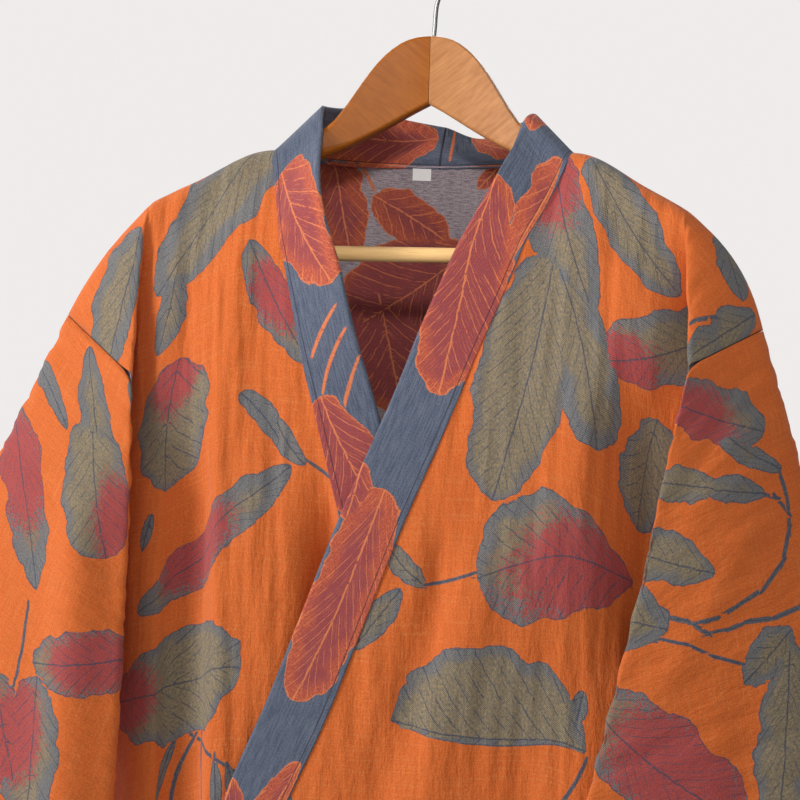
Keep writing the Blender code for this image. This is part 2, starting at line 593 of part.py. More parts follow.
def arm_section(x, top, low, half, corner, points=4):
    """Ring of points round the arm at x: a box with rounded corners."""
    y0 = float(bow(x))
    ring = []
    for cy, cz, start in ((1, 1, 0), (-1, 1, 90), (-1, -1, 180), (1, -1, 270)):
        for i in range(points):
            q = math.radians(start + 90 * i / (points - 1))
            ring.append((x, y0 + cy * (half - corner) + corner * math.cos(q),
                         (top - corner if cz > 0 else low + corner) + corner * math.sin(q)))
    return ring


def hanger_arm(side, mat):
    """One arm: sections from the joint in the middle out to the rounded end."""
    stations = []
    for x in (0.0002, 0.006, 0.012, 0.018, 0.024, 0.0305, 0.036, 0.042, 0.048, 0.054, 0.060, 0.066,
              0.075, 0.0865, 0.102, 0.118):
        stations.append((x, float(curve(x, ARM["x"], ARM["top"])), float(curve(x, ARM["x"], ARM["low"]))))
    for x in (0.135, 0.152, 0.170, 0.1860):
        place = np.interp(x, SHOULDER[1]["x"], SHOULDER[1]["s"])
        top = float(shoulder(np.array(place))[2]) - 0.5 * CLOTH - REST - 0.0004
        stations.append((x, top, top - 2 * float(arm_half(x)) - 0.0006))
    for x, drop, shrink in ((0.18615, 0.0, 1.0), (0.198, 0.0, 1.0), (0.207, 0.0005, 0.93),
                            (0.2125, 0.003, 0.72), (0.2148, 0.008, 0.40)):
        place = np.interp(x, SHOULDER[1]["x"], SHOULDER[1]["s"])
        top = float(shoulder(np.array(place))[2]) - 0.5 * CLOTH - REST - 0.0004 - drop
        stations.append((x, top, -0.272 + 1.5 * drop, shrink))
    rings = []
    for station in stations:
        x, top, low = station[:3]
        half = float(arm_half(x)) * (station[3] if len(station) > 3 else 1.0)
        corner = 0.003 + (half - 0.0001 - 0.003) * float(soft((x - 0.05) / 0.06))
        corner = min(corner, half - 0.0001, 0.49 * (top - low))
        rings.append([(side * p[0], p[1], p[2]) for p in arm_section(x, top, low, half, corner)])
    count = len(rings[0])
    points = [p for ring in rings for p in ring]
    faces = [tuple(range(count)), tuple(range(len(points) - count, len(points)))]
    for i in range(len(rings) - 1):
        for j in range(count):
            k = (j + 1) % count
            faces.append((i * count + j, i * count + k, (i + 1) * count + k, (i + 1) * count + j))
    return add_object("hanger_arm_left" if side > 0 else "hanger_arm_right", points, faces, mat)


def tube(name, path, radius, mat, around=10):
    """Round rod along a path of points that lies in the XZ plane."""
    path = np.asarray(path, float)
    tangent = np.gradient(path, axis=0)
    tangent /= np.linalg.norm(tangent, axis=1, keepdims=True)
    across = np.array([0.0, 1.0, 0.0])
    normal = np.cross(tangent, across)
    q = np.arange(around) * 2 * math.pi / around
    points = (path[:, None] + radius * (np.cos(q)[None, :, None] * across
                                        + np.sin(q)[None, :, None] * normal[:, None])).reshape(-1, 3)
    faces = [tuple(range(around)), tuple(range(len(points) - around, len(points)))]
    for i in range(len(path) - 1):
        for j in range(around):
            k = (j + 1) % around
            faces.append((i * around + j, i * around + k, (i + 1) * around + k, (i + 1) * around + j))
    return add_object(name, points, faces, mat)


def hook_path():
    """Stem up from the wood, out to the right and round over the top to the tip."""
    radius = HOOK_INNER + WIRE
    centre = WIRE - radius
    turn = np.radians(np.linspace(-48, 205, 24))
    loop = np.stack([radius * np.cos(turn), 0 * turn, centre + radius * np.sin(turn)], -1)
    start, lead = np.array([0.0015, 0.0, -0.0786]), np.array([0.0020, 0.0, 0.022])
    finish = loop[0] - 0.020 * np.array([-math.sin(turn[0]), 0.0, math.cos(turn[0])])
    u = np.linspace(0.0, 1.0, 9)[:-1, None]
    stem = ((1 - u) ** 3 * start + 3 * u * (1 - u) ** 2 * (start + lead)
            + 3 * u * u * (1 - u) * finish + u ** 3 * loop[0])
    return np.concatenate([stem, loop])


def main():
    for obj in list(bpy.data.objects):
        bpy.data.objects.remove(obj, do_unlink=True)
    face = material("jacquard_face", (0.72, 0.20, 0.05), 0.85)
    reverse = material("jacquard_reverse", (0.10, 0.14, 0.23), 0.85)
    wood = material("wood", (0.55, 0.27, 0.09), 0.40)
    bar_wood = material("bar_wood", (0.66, 0.42, 0.17), 0.40)
    steel = material("steel", (0.45, 0.45, 0.45), 0.30, 1.0)
    label = material("label", (0.85, 0.84, 0.82), 0.80)

    wall("back", *back_grid(), CLOTH, face)
    wall("front_right", *front_grid(-1), CLOTH, face)
    wall("front_left", *front_grid(1), CLOTH, face)
    wall("sleeve_right", *sleeve_grid(-1), CLOTH, face, wrap=True)
    wall("sleeve_left", *sleeve_grid(1), CLOTH, face, wrap=True)
    wall("collar_right", *collar_grid(-1), COLLAR_THICK, reverse)
    wall("collar_left", *collar_grid(1), COLLAR_THICK, reverse)

    # bare size tag, hanging in front of the back's inner side just under the neck seam
    tag_x = np.array([-0.0215, -0.0140, -0.0065])
    tag_drop = np.array([0.0030, 0.0080, 0.0130])
    tag = np.array([[sheet(x, t, 1.0) - np.array([0.0, 0.0022, 0.0]) for x in tag_x] for t in tag_drop])
    wall("size_tag", tag, normals(tag), 0.0006, label)

    hanger_arm(-1, wood)
    hanger_arm(1, wood)
    tube("hanger_bar", [(x, -0.050, BAR_Z) for x in np.linspace(-BAR_HALF, BAR_HALF, 5)],
         BAR_RADIUS, bar_wood, around=20)
    tube("hanger_hook", hook_path(), WIRE, steel)


main()
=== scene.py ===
# %% [markdown]
# # A kimono robe on a wooden hanger
# The robe is thin woven cotton, cut flat and sewn from seven pieces: a back, two fronts, two
# sleeves and a collar band in two halves. It hangs from a wooden clothes hanger.
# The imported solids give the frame. This script dresses them: each piece of cloth is worked out
# again as a fine surface, with the leaf pattern that is woven into it.

# %% Load the frame
import math

import bpy
import json
import numpy as np
from mathutils import Matrix

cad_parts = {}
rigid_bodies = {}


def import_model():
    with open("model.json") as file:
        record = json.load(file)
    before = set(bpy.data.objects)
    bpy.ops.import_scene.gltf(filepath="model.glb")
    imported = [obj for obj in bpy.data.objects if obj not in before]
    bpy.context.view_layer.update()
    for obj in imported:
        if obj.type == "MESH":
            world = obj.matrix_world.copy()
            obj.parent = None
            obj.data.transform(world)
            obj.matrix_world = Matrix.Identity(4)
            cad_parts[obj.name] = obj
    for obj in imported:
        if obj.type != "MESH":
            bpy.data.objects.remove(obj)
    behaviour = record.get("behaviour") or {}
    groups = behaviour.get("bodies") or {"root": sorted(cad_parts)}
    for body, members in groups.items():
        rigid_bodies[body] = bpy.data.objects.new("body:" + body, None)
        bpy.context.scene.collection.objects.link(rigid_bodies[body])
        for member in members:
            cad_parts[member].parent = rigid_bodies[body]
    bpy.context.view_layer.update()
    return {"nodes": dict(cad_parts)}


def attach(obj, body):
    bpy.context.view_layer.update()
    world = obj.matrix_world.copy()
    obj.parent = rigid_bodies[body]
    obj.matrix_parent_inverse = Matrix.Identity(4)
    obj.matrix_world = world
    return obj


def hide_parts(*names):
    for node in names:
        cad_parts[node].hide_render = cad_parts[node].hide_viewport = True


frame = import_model()
print("nodes:", ", ".join(sorted(frame["nodes"])))

# %% [markdown]
# ## The camera
# A garment photograph is taken from far enough away to keep the shoulders from bulging. Here the
# lens looks level, twelve degrees round to the wearer's left, and is tipped a little clockwise.
# The frame takes in 64 cm of cloth at the garment's depth and cuts the sleeves and the hem off.

# %% Camera
CAMERA_YAW = math.radians(12.0)
CAMERA_ROLL = math.radians(1.8)
CAMERA_AWAY = 1.9
CAMERA_LOOKS_AT = np.array([-0.01040324, -0.03221128, -0.37496496])
SEEN_WIDTH = 0.64
SENSOR_MM = 36.0

away = np.array([math.sin(CAMERA_YAW), -math.cos(CAMERA_YAW), 0.0])
level = np.array([math.cos(CAMERA_YAW), math.sin(CAMERA_YAW), 0.0])
upright = np.array([0.0, 0.0, 1.0])
image_right = level * math.cos(CAMERA_ROLL) + upright * math.sin(CAMERA_ROLL)
image_up = upright * math.cos(CAMERA_ROLL) - level * math.sin(CAMERA_ROLL)
camera_data = bpy.data.cameras.new("camera")
camera_data.sensor_width = SENSOR_MM
camera_data.lens = SENSOR_MM * CAMERA_AWAY / SEEN_WIDTH
camera = bpy.data.objects.new("camera", camera_data)
pose = Matrix.Identity(4)
for k, axis in enumerate((image_right, image_up, away, CAMERA_LOOKS_AT + away * CAMERA_AWAY)):
    for row in range(3):
        pose[row][k] = axis[row]
camera.matrix_world = pose
bpy.context.scene.collection.objects.link(camera)
bpy.context.scene.camera = camera
print("lens", round(camera_data.lens, 2), "mm")

# %% [markdown]
# ## Floor and light
# A big window high to the left of the garment gives most of the light, and pale walls fill the
# shadows. Two area lights stand in for the window and for the room's far side, and
# a narrow one reaches into the neck. One more stands behind, for the view from the back.

# %% Floor and light
FLOOR_Z = -1.62


def add_light(name, place, aim, size, power, colour, spread=180.0):
    """A square area light at a place, turned to its aim, with its beam this many degrees wide."""
    data = bpy.data.lights.new(name, "AREA")
    data.shape, data.size, data.energy, data.color = "SQUARE", size, power, colour
    data.spread = math.radians(spread)
    lamp = bpy.data.objects.new(name, data)
    z = np.array(place, float) - np.array(aim, float)
    z /= np.linalg.norm(z)
    x = np.cross([0.0, 0.0, 1.0], z)
    x /= np.linalg.norm(x)
    turn = Matrix.Identity(4)
    for k, axis in enumerate((x, np.cross(z, x), z, place)):
        for row in range(3):
            turn[row][k] = axis[row]
    lamp.matrix_world = turn
    bpy.context.scene.collection.objects.link(lamp)


add_light("window", (-2.3, -1.35, 0.60), (0.0, 0.0, -0.45), 0.8, 74.0, (1.0, 0.985, 0.96))
add_light("room", (0.9, -2.5, 0.45), (0.0, 0.0, -0.4), 1.6, 9.0, (1.0, 0.97, 0.94))
add_light("behind", (-0.9, 2.6, 0.6), (0.0, 0.0, -0.6), 1.6, 34.0, (1.0, 0.98, 0.96))
add_light("neck", (0.3, -1.9, 0.55), (0.0, 0.05, -0.17), 0.25, 0.24, (1.0, 0.985, 0.97), 22.0)

around = np.linspace(0.0, 2 * math.pi, 96, endpoint=False)
disc = bpy.data.meshes.new("floor")
disc.from_pydata([(3.4 * math.cos(q), 3.4 * math.sin(q), FLOOR_Z) for q in around], [], [tuple(range(96))])
floor = bpy.data.objects.new("floor", disc)
bpy.context.scene.collection.objects.link(floor)

world = bpy.data.worlds.new("room")
bpy.context.scene.world = world
world.use_nodes = True
nodes, links = world.node_tree.nodes, world.node_tree.links
nodes.clear()
seen = nodes.new("ShaderNodeBackground")
seen.inputs["Color"].default_value = (0.86, 0.835, 0.825, 1.0)
lit = nodes.new("ShaderNodeBackground")
lit.inputs["Color"].default_value = (1.0, 0.975, 0.95, 1.0)
lit.inputs["Strength"].default_value = 0.35
pick, ray = nodes.new("ShaderNodeMixShader"), nodes.new("ShaderNodeLightPath")
out = nodes.new("ShaderNodeOutputWorld")
links.new(ray.outputs["Is Camera Ray"], pick.inputs["Fac"])
links.new(lit.outputs[0], pick.inputs[1])
links.new(seen.outputs[0], pick.inputs[2])
links.new(pick.outputs[0], out.inputs[0])
bpy.context.scene.view_settings.view_transform = "Standard"
print("floor at", FLOOR_Z)

# %% [markdown]
# ## Shader maths as Python
# A node tree is easier to read as an expression. The class below wraps one socket; adding,
# multiplying or comparing two of them adds the Math node that does it.

# %% Socket wrapper


class Value:
    """One output socket of a material's node tree, usable in expressions."""

    def __init__(self, tree, socket):
        self.tree, self.socket = tree, socket

    def node(self, kind, settings=None, inputs=None, output=0):
        """Any node: its type, its settings (set first) and its sockets' values or links."""
        n = self.tree.nodes.new(kind)
        for key, value in (settings or {}).items():
            if key == "stops":
                ramp = n.color_ramp
                while len(ramp.elements) < len(value):
                    ramp.elements.new(0.5)
                for element, (place, colour) in zip(ramp.elements, value):
                    element.position, element.color = place, (*colour, 1.0)
            else:
                setattr(n, key, value)
        for key, value in (inputs or {}).items():
            if isinstance(value, Value):
                self.tree.links.new(value.socket, n.inputs[key])
            else:
                n.inputs[key].default_value = value
        return Value(self.tree, n.outputs[output])

    def math(self, operation, other=0.0, third=0.0):
        return self.node("ShaderNodeMath", {"operation": operation}, {0: self, 1: other, 2: third})

    def __add__(self, other):
        return self.math("ADD", other)

    def __radd__(self, other):
        return self.math("ADD", other)

    def __sub__(self, other):
        return self.math("SUBTRACT", other)

    def __rsub__(self, other):
        return self.node("ShaderNodeMath", {"operation": "SUBTRACT"}, {0: other, 1: self})

    def __mul__(self, other):
        return self.math("MULTIPLY", other)

    def __rmul__(self, other):
        return self.math("MULTIPLY", other)

    def __truediv__(self, other):
        return self.math("DIVIDE", other)

    def __abs__(self):
        return self.math("ABSOLUTE")

    def step(self, low, high):
        """0 below low, 1 above high, a smooth rise between (high may be the lower)."""
        if high < low:
            return 1.0 - self.step(high, low)
        return self.node("ShaderNodeMapRange", {"interpolation_type": "SMOOTHSTEP"},
                         {"Value": self, "From Min": low, "From Max": high})

    def both(self, other):
        return self.math("MINIMUM", other)

    def either(self, other):
        return self.math("MAXIMUM", other)

    def scaled(self, x, y, z=1.0):
        """A vector stretched by a factor along each axis."""
        return self.node("ShaderNodeVectorMath", {"operation": "MULTIPLY"}, {0: self, 1: (x, y, z)})

    def noise(self, scale, detail=2.0, rough=0.5):
        """Noise from 0 to 1 at this place."""
        return self.node("ShaderNodeTexNoise", {"noise_dimensions": "3D"},
                         {"Vector": self, "Scale": scale, "Detail": detail, "Roughness": rough})

    def blend(self, low, high):
        """The colour low where this is 0 and high where it is 1."""
        def colour(c):
            return c if isinstance(c, Value) else (*c, 1.0)
        return self.node("ShaderNodeMix", {"data_type": "RGBA"},
                         {0: self, 6: colour(low), 7: colour(high)}, output=2)


def new_material(name):
    """An empty material with its Principled shader, and a first Value to build from."""
    m = bpy.data.materials.new(name)
    m.use_nodes = True
    tree = m.node_tree
    shader = tree.nodes["Principled BSDF"]
    return m, shader, Value(tree, shader.outputs[0])


def feed(shader, **sockets):
    """Link or set the shader's sockets; a plain number or colour is set on the socket itself."""
    for key, value in sockets.items():
        socket = shader.inputs[key.replace("_", " ")]
        if isinstance(value, Value):
            value.tree.links.new(value.socket, socket)
        else:
            socket.default_value = value


def separate(vector):
    """The parts of a vector as three Values."""
    parts = [vector.node("ShaderNodeSeparateXYZ", {}, {0: vector}, output=k) for k in range(3)]
    return parts


print("shader helpers ready")

# %% [markdown]
# ## The cut of the robe
# Every surface of the robe is one formula: from a place on the flat cut, s across and t down from
# the shoulder line, to a point in space. The sizes and the guide lines below are those of the
# solids, so the fine cloth lies exactly where the solids are.

# %% Sizes and guide lines
# Sizes of the cut
HALF_SHOULDER = 0.338      # centre line to armhole seam, along the shoulder
HALF_BODY = 0.300          # centre line to side seam
HALF_NECK = 0.118          # centre line to the collar seam at the shoulder
ARMHOLE = 0.280            # shoulder line to underarm, along the armhole seam
SLEEVE_LENGTH = 0.400
HALF_CUFF = 0.262          # half of the way round the sleeve's open end
HEM_Z = -1.320
COLLAR_WIDTH = 0.044
FRONT_EDGE_OVER = 0.190    # how far the upper front laps past the centre line
FRONT_EDGE_UNDER = 0.110   # and the lower front

# Thicknesses and gaps
CLOTH = 0.0015
COLLAR_THICK = 0.0030
SEAM = 0.0008              # slit left between two sewn pieces
UNDERARM_SLIT = 0.0098     # more cloth left out at the underarm, hidden in the folds
FOLD_SLIT = 0.0030         # and where the armhole seam passes under the fold
LAP = 0.0080               # the upper front stands this far before the lower one
REST = 0.0012              # cloth above the hanger's arm

# Hanger
ARM_SPAN = 0.215
BOW = 0.052                # the arms' ends stand this far before the middle
ARM_HALF_MID = 0.0075      # half thickness at the middle
ARM_HALF_END = 0.0170      # and at the ends

# Places on the shoulder line and the body
NECK_X = 0.121             # from the middle, where the collar seam crosses the shoulder
SHOULDER_Z = -0.1758       # height there
HIP = 0.20                 # the body hangs straight inside this far from the centre line
END_S, END_X = 0.2215, 0.2142   # the hanger's end, on the cut and from the middle
FOLD_RADIUS = 0.0065       # of the sleeve's top fold

# Shoulder line, for each side: place on the cut, distance from the middle, height
SHOULDER = {
    1: dict(
        s=(0.0, 0.118, 0.190, 0.2215, 0.241, 0.262, 0.297, 0.338),
        x=(0.0, 0.121, 0.1857, 0.2142, 0.2295, 0.2452, 0.2613, 0.2768),
        z=(-0.1758, -0.1758, -0.2060, -0.2215, -0.2303, -0.2439, -0.2742, -0.3123)),
    -1: dict(
        s=(0.0, 0.118, 0.190, 0.2215, 0.2630, 0.3000, 0.338),
        x=(0.0, 0.121, 0.1857, 0.2142, 0.2442, 0.2668, 0.2878),
        z=(-0.1758, -0.1758, -0.2060, -0.2215, -0.2487, -0.2800, -0.3123)),
}
# Collar seam on each front: height and distance from the centre line on its own side
COLLAR_SEAM = {
    1: dict(
        z=(-0.1758, -0.2155, -0.2592, -0.2920, -0.3464, -0.3897, -0.4825, -0.5670, -0.6318,
           -0.6842, -0.800, -0.955),
        x=(0.1210, 0.1078, 0.0882, 0.0756, 0.0540, 0.0393, 0.0035, -0.0257, -0.0490,
           -0.0716, -0.1212, -0.1880)),
    -1: dict(
        z=(-0.1758, -0.2294, -0.2623, -0.3028, -0.3535, -0.3949, -0.4439, -0.4733, -0.600,
           -0.800, -0.955),
        x=(0.1210, 0.1066, 0.0985, 0.0884, 0.0751, 0.0625, 0.0482, 0.0395, 0.0027,
           -0.0580, -0.1080)),
}
COLLAR_END_Z = -0.945
# Collar band, from its seam to its free edge: way along the seam from the centre back,
# and the step across (own side, depth, height). The rest of the band follows the front.
BAND = {
    1: dict(
        v=(0.0, 0.040, 0.080, 0.118, 0.142, 0.166, 0.192, 0.235),
        x=(0.0, -0.012, -0.016, -0.0335, -0.0335, -0.0310, -0.0330, -0.0385),
        y=(0.024, 0.030, 0.030, 0.0200, 0.0180, 0.0100, 0.0000, -0.0060),
        z=(0.034, 0.0245, 0.0370, 0.0325, 0.0390, 0.0380, 0.0280, 0.0200)),
    -1: dict(
        v=(0.0, 0.040, 0.080, 0.118, 0.142, 0.166, 0.192, 0.235),
        x=(0.0, -0.011, -0.0135, -0.0310, -0.0310, -0.0310, -0.0330, -0.0360),
        y=(0.024, 0.020, 0.0250, 0.0280, 0.0220, 0.0060, -0.0080, -0.0180),
        z=(0.034, 0.0385, 0.0480, 0.0400, 0.0380, 0.0360, 0.0280, 0.0160)),
}
BAND_TABLE_END = 0.235
# Sleeve, by the way a along it. ridge: top fold. front and back: edges of the folds that lap
# over the body. under: the underarm seam. Columns are own side, depth, height.
SLEEVE_A = (0.0, 0.1, 0.2, 0.3, 0.4)
SLEEVE = {
    1: dict(
        ridge=dict(x=(0.2768, 0.3050, 0.3345, 0.3640, 0.3940),
                   y=(-0.045, -0.049, -0.056, -0.063, -0.070),
                   z=(-0.3123, -0.4020, -0.5000, -0.5975, -0.6950)),
        front=dict(x=(0.2220, 0.2040, 0.1850, 0.1640, 0.1420),
                   y=(-0.093, -0.102, -0.112, -0.120, -0.126),
                   z=(-0.3450, -0.4350, -0.5330, -0.6330, -0.7350)),
        back=dict(x=(0.2150, 0.2400, 0.2780, 0.2350, 0.1420),
                  y=(0.002, 0.002, -0.032, -0.094, -0.110),
                  z=(-0.3450, -0.4500, -0.5600, -0.6550, -0.7350)),
        under=dict(x=(0.2680, 0.2870, 0.2750, 0.2120, 0.1415),
                   y=(-0.038, -0.048, -0.074, -0.104, -0.118),
                   z=(-0.5000, -0.5480, -0.6020, -0.6700, -0.7360))),
    -1: dict(
        ridge=dict(x=(0.2878, 0.3300, 0.3730, 0.4160, 0.4590),
                   y=(-0.045, -0.049, -0.056, -0.063, -0.070),
                   z=(-0.3123, -0.4030, -0.4930, -0.5830, -0.6740)),
        front=dict(x=(0.2140, 0.2100, 0.2090, 0.2110, 0.2180),
                   y=(-0.093, -0.098, -0.102, -0.105, -0.107),
                   z=(-0.3650, -0.4600, -0.5600, -0.6600, -0.7600)),
        back=dict(x=(0.2150, 0.2350, 0.2640, 0.2640, 0.2180),
                  y=(0.002, 0.002, -0.018, -0.055, -0.091),
                  z=(-0.3650, -0.4550, -0.5550, -0.6600, -0.7600)),
        under=dict(x=(0.2680, 0.2840, 0.2820, 0.2530, 0.2175),
                   y=(-0.038, -0.045, -0.056, -0.077, -0.099),
                   z=(-0.5000, -0.5650, -0.6300, -0.7000, -0.7610))),
}
FOLD_ON_RING = 0.114       # way round the armhole from the shoulder to the sleeve's fold edge
UNDERARM = (0.268, -0.038, -0.500)

# Soft folds: from (s0, z0) to (s1, z1), width across, height (+ is forward)
FOLD_COLUMNS = ("s0", "z0", "s1", "z1", "wide", "high")
FOLDS = {
    1: (
        (0.150, -0.24, 0.172, -0.42, 0.016, -0.0050),
        (0.195, -0.25, 0.120, -0.50, 0.020, 0.0050),
        (0.045, -0.47, -0.030, -0.80, 0.013, -0.0045),
        (0.075, -0.47, 0.000, -0.85, 0.014, 0.0045),
        (0.120, -0.55, 0.050, -1.25, 0.022, -0.0050),
        (0.165, -0.60, 0.130, -1.32, 0.024, 0.0080),
        (-0.080, -0.80, -0.100, -1.32, 0.022, 0.0040),
    ),
    -1: (
        (0.150, -0.22, 0.132, -1.32, 0.016, 0.0060),
        (0.100, -0.42, 0.098, -1.10, 0.016, -0.0070),
        (0.176, -0.24, 0.170, -0.95, 0.013, -0.0055),
        (0.070, -0.62, 0.050, -1.32, 0.020, 0.0030),
    ),
}
BACK_FOLDS = (
    (0.140, -0.22, 0.120, -1.32, 0.026, -0.0090),
    (0.070, -0.30, 0.060, -1.32, 0.024, 0.0080),
    (0.190, -0.40, 0.185, -1.32, 0.020, 0.0080),
    (-0.150, -0.22, -0.125, -1.32, 0.026, -0.0090),
    (-0.065, -0.30, -0.050, -1.32, 0.024, 0.0080),
    (-0.190, -0.40, -0.185, -1.32, 0.020, 0.0080),
)
print("shoulder line", 2 * HALF_SHOULDER, "m, sleeve", SLEEVE_LENGTH, "m")

# %% [markdown]
# ## From the flat cut to the hanging cloth
# Small helpers come first: a smooth step, a cubic through a table that never overshoots, and the
# rounded ridge over which the cloth turns from front to back.

# %% Helpers for curves


def soft(q):
    """Smooth step from 0 to 1: 3 q^2 - 2 q^3 on q held to 0..1."""
    q = np.clip(q, 0.0, 1.0)
    return q * q * (3.0 - 2.0 * q)


def curve(q, knots, values):
    """Cubic through a table, flat where the table turns, so it never overshoots."""
    k, v = np.asarray(knots, float), np.asarray(values, float)
    h, d = np.diff(k), np.diff(v) / np.diff(k)
    m = np.empty_like(v)
    m[0], m[-1] = d[0], d[-1]
    same = d[:-1] * d[1:] > 0
    w1, w2 = 2 * h[1:] + h[:-1], h[1:] + 2 * h[:-1]
    with np.errstate(divide="ignore", invalid="ignore"):
        m[1:-1] = np.where(same, (w1 + w2) / (w1 / d[:-1] + w2 / d[1:]), 0.0)
    q = np.clip(q, k[0], k[-1])
    i = np.clip(np.searchsorted(k, q, side="right") - 1, 0, len(h) - 1)
    u = (q - k[i]) / h[i]
    return (v[i] * (1 + 2 * u) * (1 - u) ** 2 + m[i] * h[i] * u * (1 - u) ** 2
            + v[i + 1] * u * u * (3 - 2 * u) + m[i + 1] * h[i] * u * u * (u - 1))


def by_side(side, function):
    """function(1) where side is +1 and function(-1) where it is -1."""
    return np.where(side > 0, function(1), function(-1))


print("curve helpers ready")

# %% [markdown]
# ## The shoulder line
# The top of the robe is a ridge where back and fronts meet. It rests on the hanger's arms, so
# its height follows their slope and its thickness theirs, and it droops past their ends. A
# formula for each keeps the cloth clear of the wood all along.

# %% The shoulder line over the hanger


def bow(x):
    """Depth of the hanger's middle plane; it comes forward towards the arms' ends."""
    a = np.abs(x)
    return -BOW * (np.minimum(a, ARM_SPAN) / ARM_SPAN) ** 1.4 + 0.10 * np.clip(a - ARM_SPAN, 0.0, 0.07)


def arm_half(x):
    """Half thickness of the arm at x."""
    return ARM_HALF_MID + (ARM_HALF_END - ARM_HALF_MID) * (np.minimum(np.abs(x), ARM_SPAN) / ARM_SPAN) ** 1.5


def over_ridge(t, r):
    """Way down and way out when a layer runs t along from a ridge rounded to radius r."""
    q = np.minimum(t / r, 0.5 * math.pi)
    return r * (1 - np.cos(q)) + np.maximum(t - 0.5 * math.pi * r, 0.0), r * np.sin(q)


def shoulder(s):
    """Signed x, depth and height of the shoulder line at s, and its ridge radius."""
    side, a = np.where(s < 0, -1, 1), np.abs(s)
    x = by_side(side, lambda k: curve(a, SHOULDER[k]["s"], SHOULDER[k]["x"]))
    z = by_side(side, lambda k: curve(a, SHOULDER[k]["s"], SHOULDER[k]["z"]))
    r = arm_half(x) + 0.5 * CLOTH + REST
    r = r + (FOLD_RADIUS - r) * soft((a - 0.222) / 0.05)
    return side * x, bow(x), z, r


def neck_back(s):
    """Depth and height of the back neck seam, which swings back behind the hanger."""
    q = np.clip(np.abs(s) / HALF_NECK, 0.0, 1.0)
    y_neck = float(bow(NECK_X))
    return 0.048 + (y_neck - 0.048) * q ** 5.5, -0.1795 + 0.0037 * q ** 1.5


print("half thickness of the hanger's arm at its end", round(float(arm_half(ARM_SPAN)), 4))

# %% [markdown]
# ## The body
# Below the shoulders the cloth hangs straight down, and front and back keep apart by the
# thickness of the arms. It is worked out without folds first, because the fronts, the back and
# the collar all start from it.

# %% The body, hanging straight down inside the hanger's ends


def free_body(s, t, layer, over):
    """Body cloth inside the hanger's ends, hanging straight down from the shoulder line."""
    x, y_top, z_top, r = shoulder(s)
    a = np.abs(s)
    inside = a < HALF_NECK
    y_neck, z_neck = neck_back(s)
    back = layer > 0
    r_here = np.where(inside & back, np.maximum(r * soft(a / HALF_NECK), 0.0005), r)
    y_top = np.where(inside, np.where(back, y_neck, float(bow(NECK_X))), y_top)
    z_top = np.where(inside & back, z_neck, z_top)
    down, out = over_ridge(t, r_here)
    z = z_top - down
    q = np.minimum(np.abs(x) / 0.20, 1.0)
    low = soft((-z - 0.20) / 0.45)
    y_front = -(0.074 + 0.024 * low) + 0.008 * low * q ** 2
    y_back = (0.048 - 0.010 * low) - (0.062 - 0.004 * low) * q ** 2
    k = soft(t / 0.085)
    y = (y_top + layer * out) * (1 - k) + np.where(back, y_back, y_front) * k
    lap = over * (layer < 0) * LAP * soft((0.20 - s) / 0.09) * soft((-z - 0.33) / 0.07)
    return np.stack([x, y - lap, z], -1)


def side_line(side, down):
    """Side seam, down metres below the underarm."""
    x0, y0, z0 = UNDERARM
    length = side_length(side)
    z = z0 + (HEM_Z - z0) * down / length
    x = x0 - 0.018 * soft(-(z - z0) / 0.16) + 0.008 * soft((-z - 0.9) / 0.4)
    return np.stack([side * x, y0 + 0.008 * soft(-(z - z0) / 0.5) + 0 * x, z], -1)


def side_length(side):
    """Side seam's length on the cut, from the underarm to the hem."""
    z = by_side(side, lambda k: curve(HALF_BODY, SHOULDER[k]["s"], SHOULDER[k]["z"]))
    return z - HEM_Z - ARMHOLE


def body_length(s):
    """Length of the cut at s, from the shoulder line to the hem."""
    side, a = np.where(s < 0, -1, 1), np.abs(s)
    _, _, z, r = shoulder(side * np.minimum(a, HIP))
    inner = z - HEM_Z + (0.5 * math.pi - 1) * r
    return inner + (ARMHOLE + side_length(side) - inner) * np.clip((a - HIP) / (HALF_BODY - HIP), 0, 1)


def armhole_s(t):
    """Place across the cut of the armhole seam, t below the shoulder."""
    return HALF_SHOULDER - (HALF_SHOULDER - HALF_BODY) * np.clip(t / ARMHOLE, 0.0, 1.0)


print("length of the cut at the centre", round(float(body_length(np.array(0.0))), 3))

# %% [markdown]
# ## Sleeves
# The sleeves hang from beyond the hanger's ends, so their cloth laps forward over the body in one
# long fold. Each is drawn with four guide lines: its top fold, the edges of the folds at the front
# and the back, and the underarm seam.

# %% The sleeves


def sleeve_line(side, name, a):
    """Point of one of the sleeve's four guide lines."""
    def column(c):
        return by_side(side, lambda k: curve(a, SLEEVE_A, SLEEVE[k][name][c]))
    return np.stack([side * column("x"), column("y"), column("z")], -1)


def fold_place(a):
    """Way round from the ridge to the fold edge, and to the underarm seam."""
    u = np.clip(a / SLEEVE_LENGTH, 0.0, 1.0)
    around = ARMHOLE + (HALF_CUFF - ARMHOLE) * u
    return FOLD_ON_RING + (0.97 * around - FOLD_ON_RING) * u ** 0.9, around


def mix(p, q, f):
    return p + (q - p) * f[..., None]


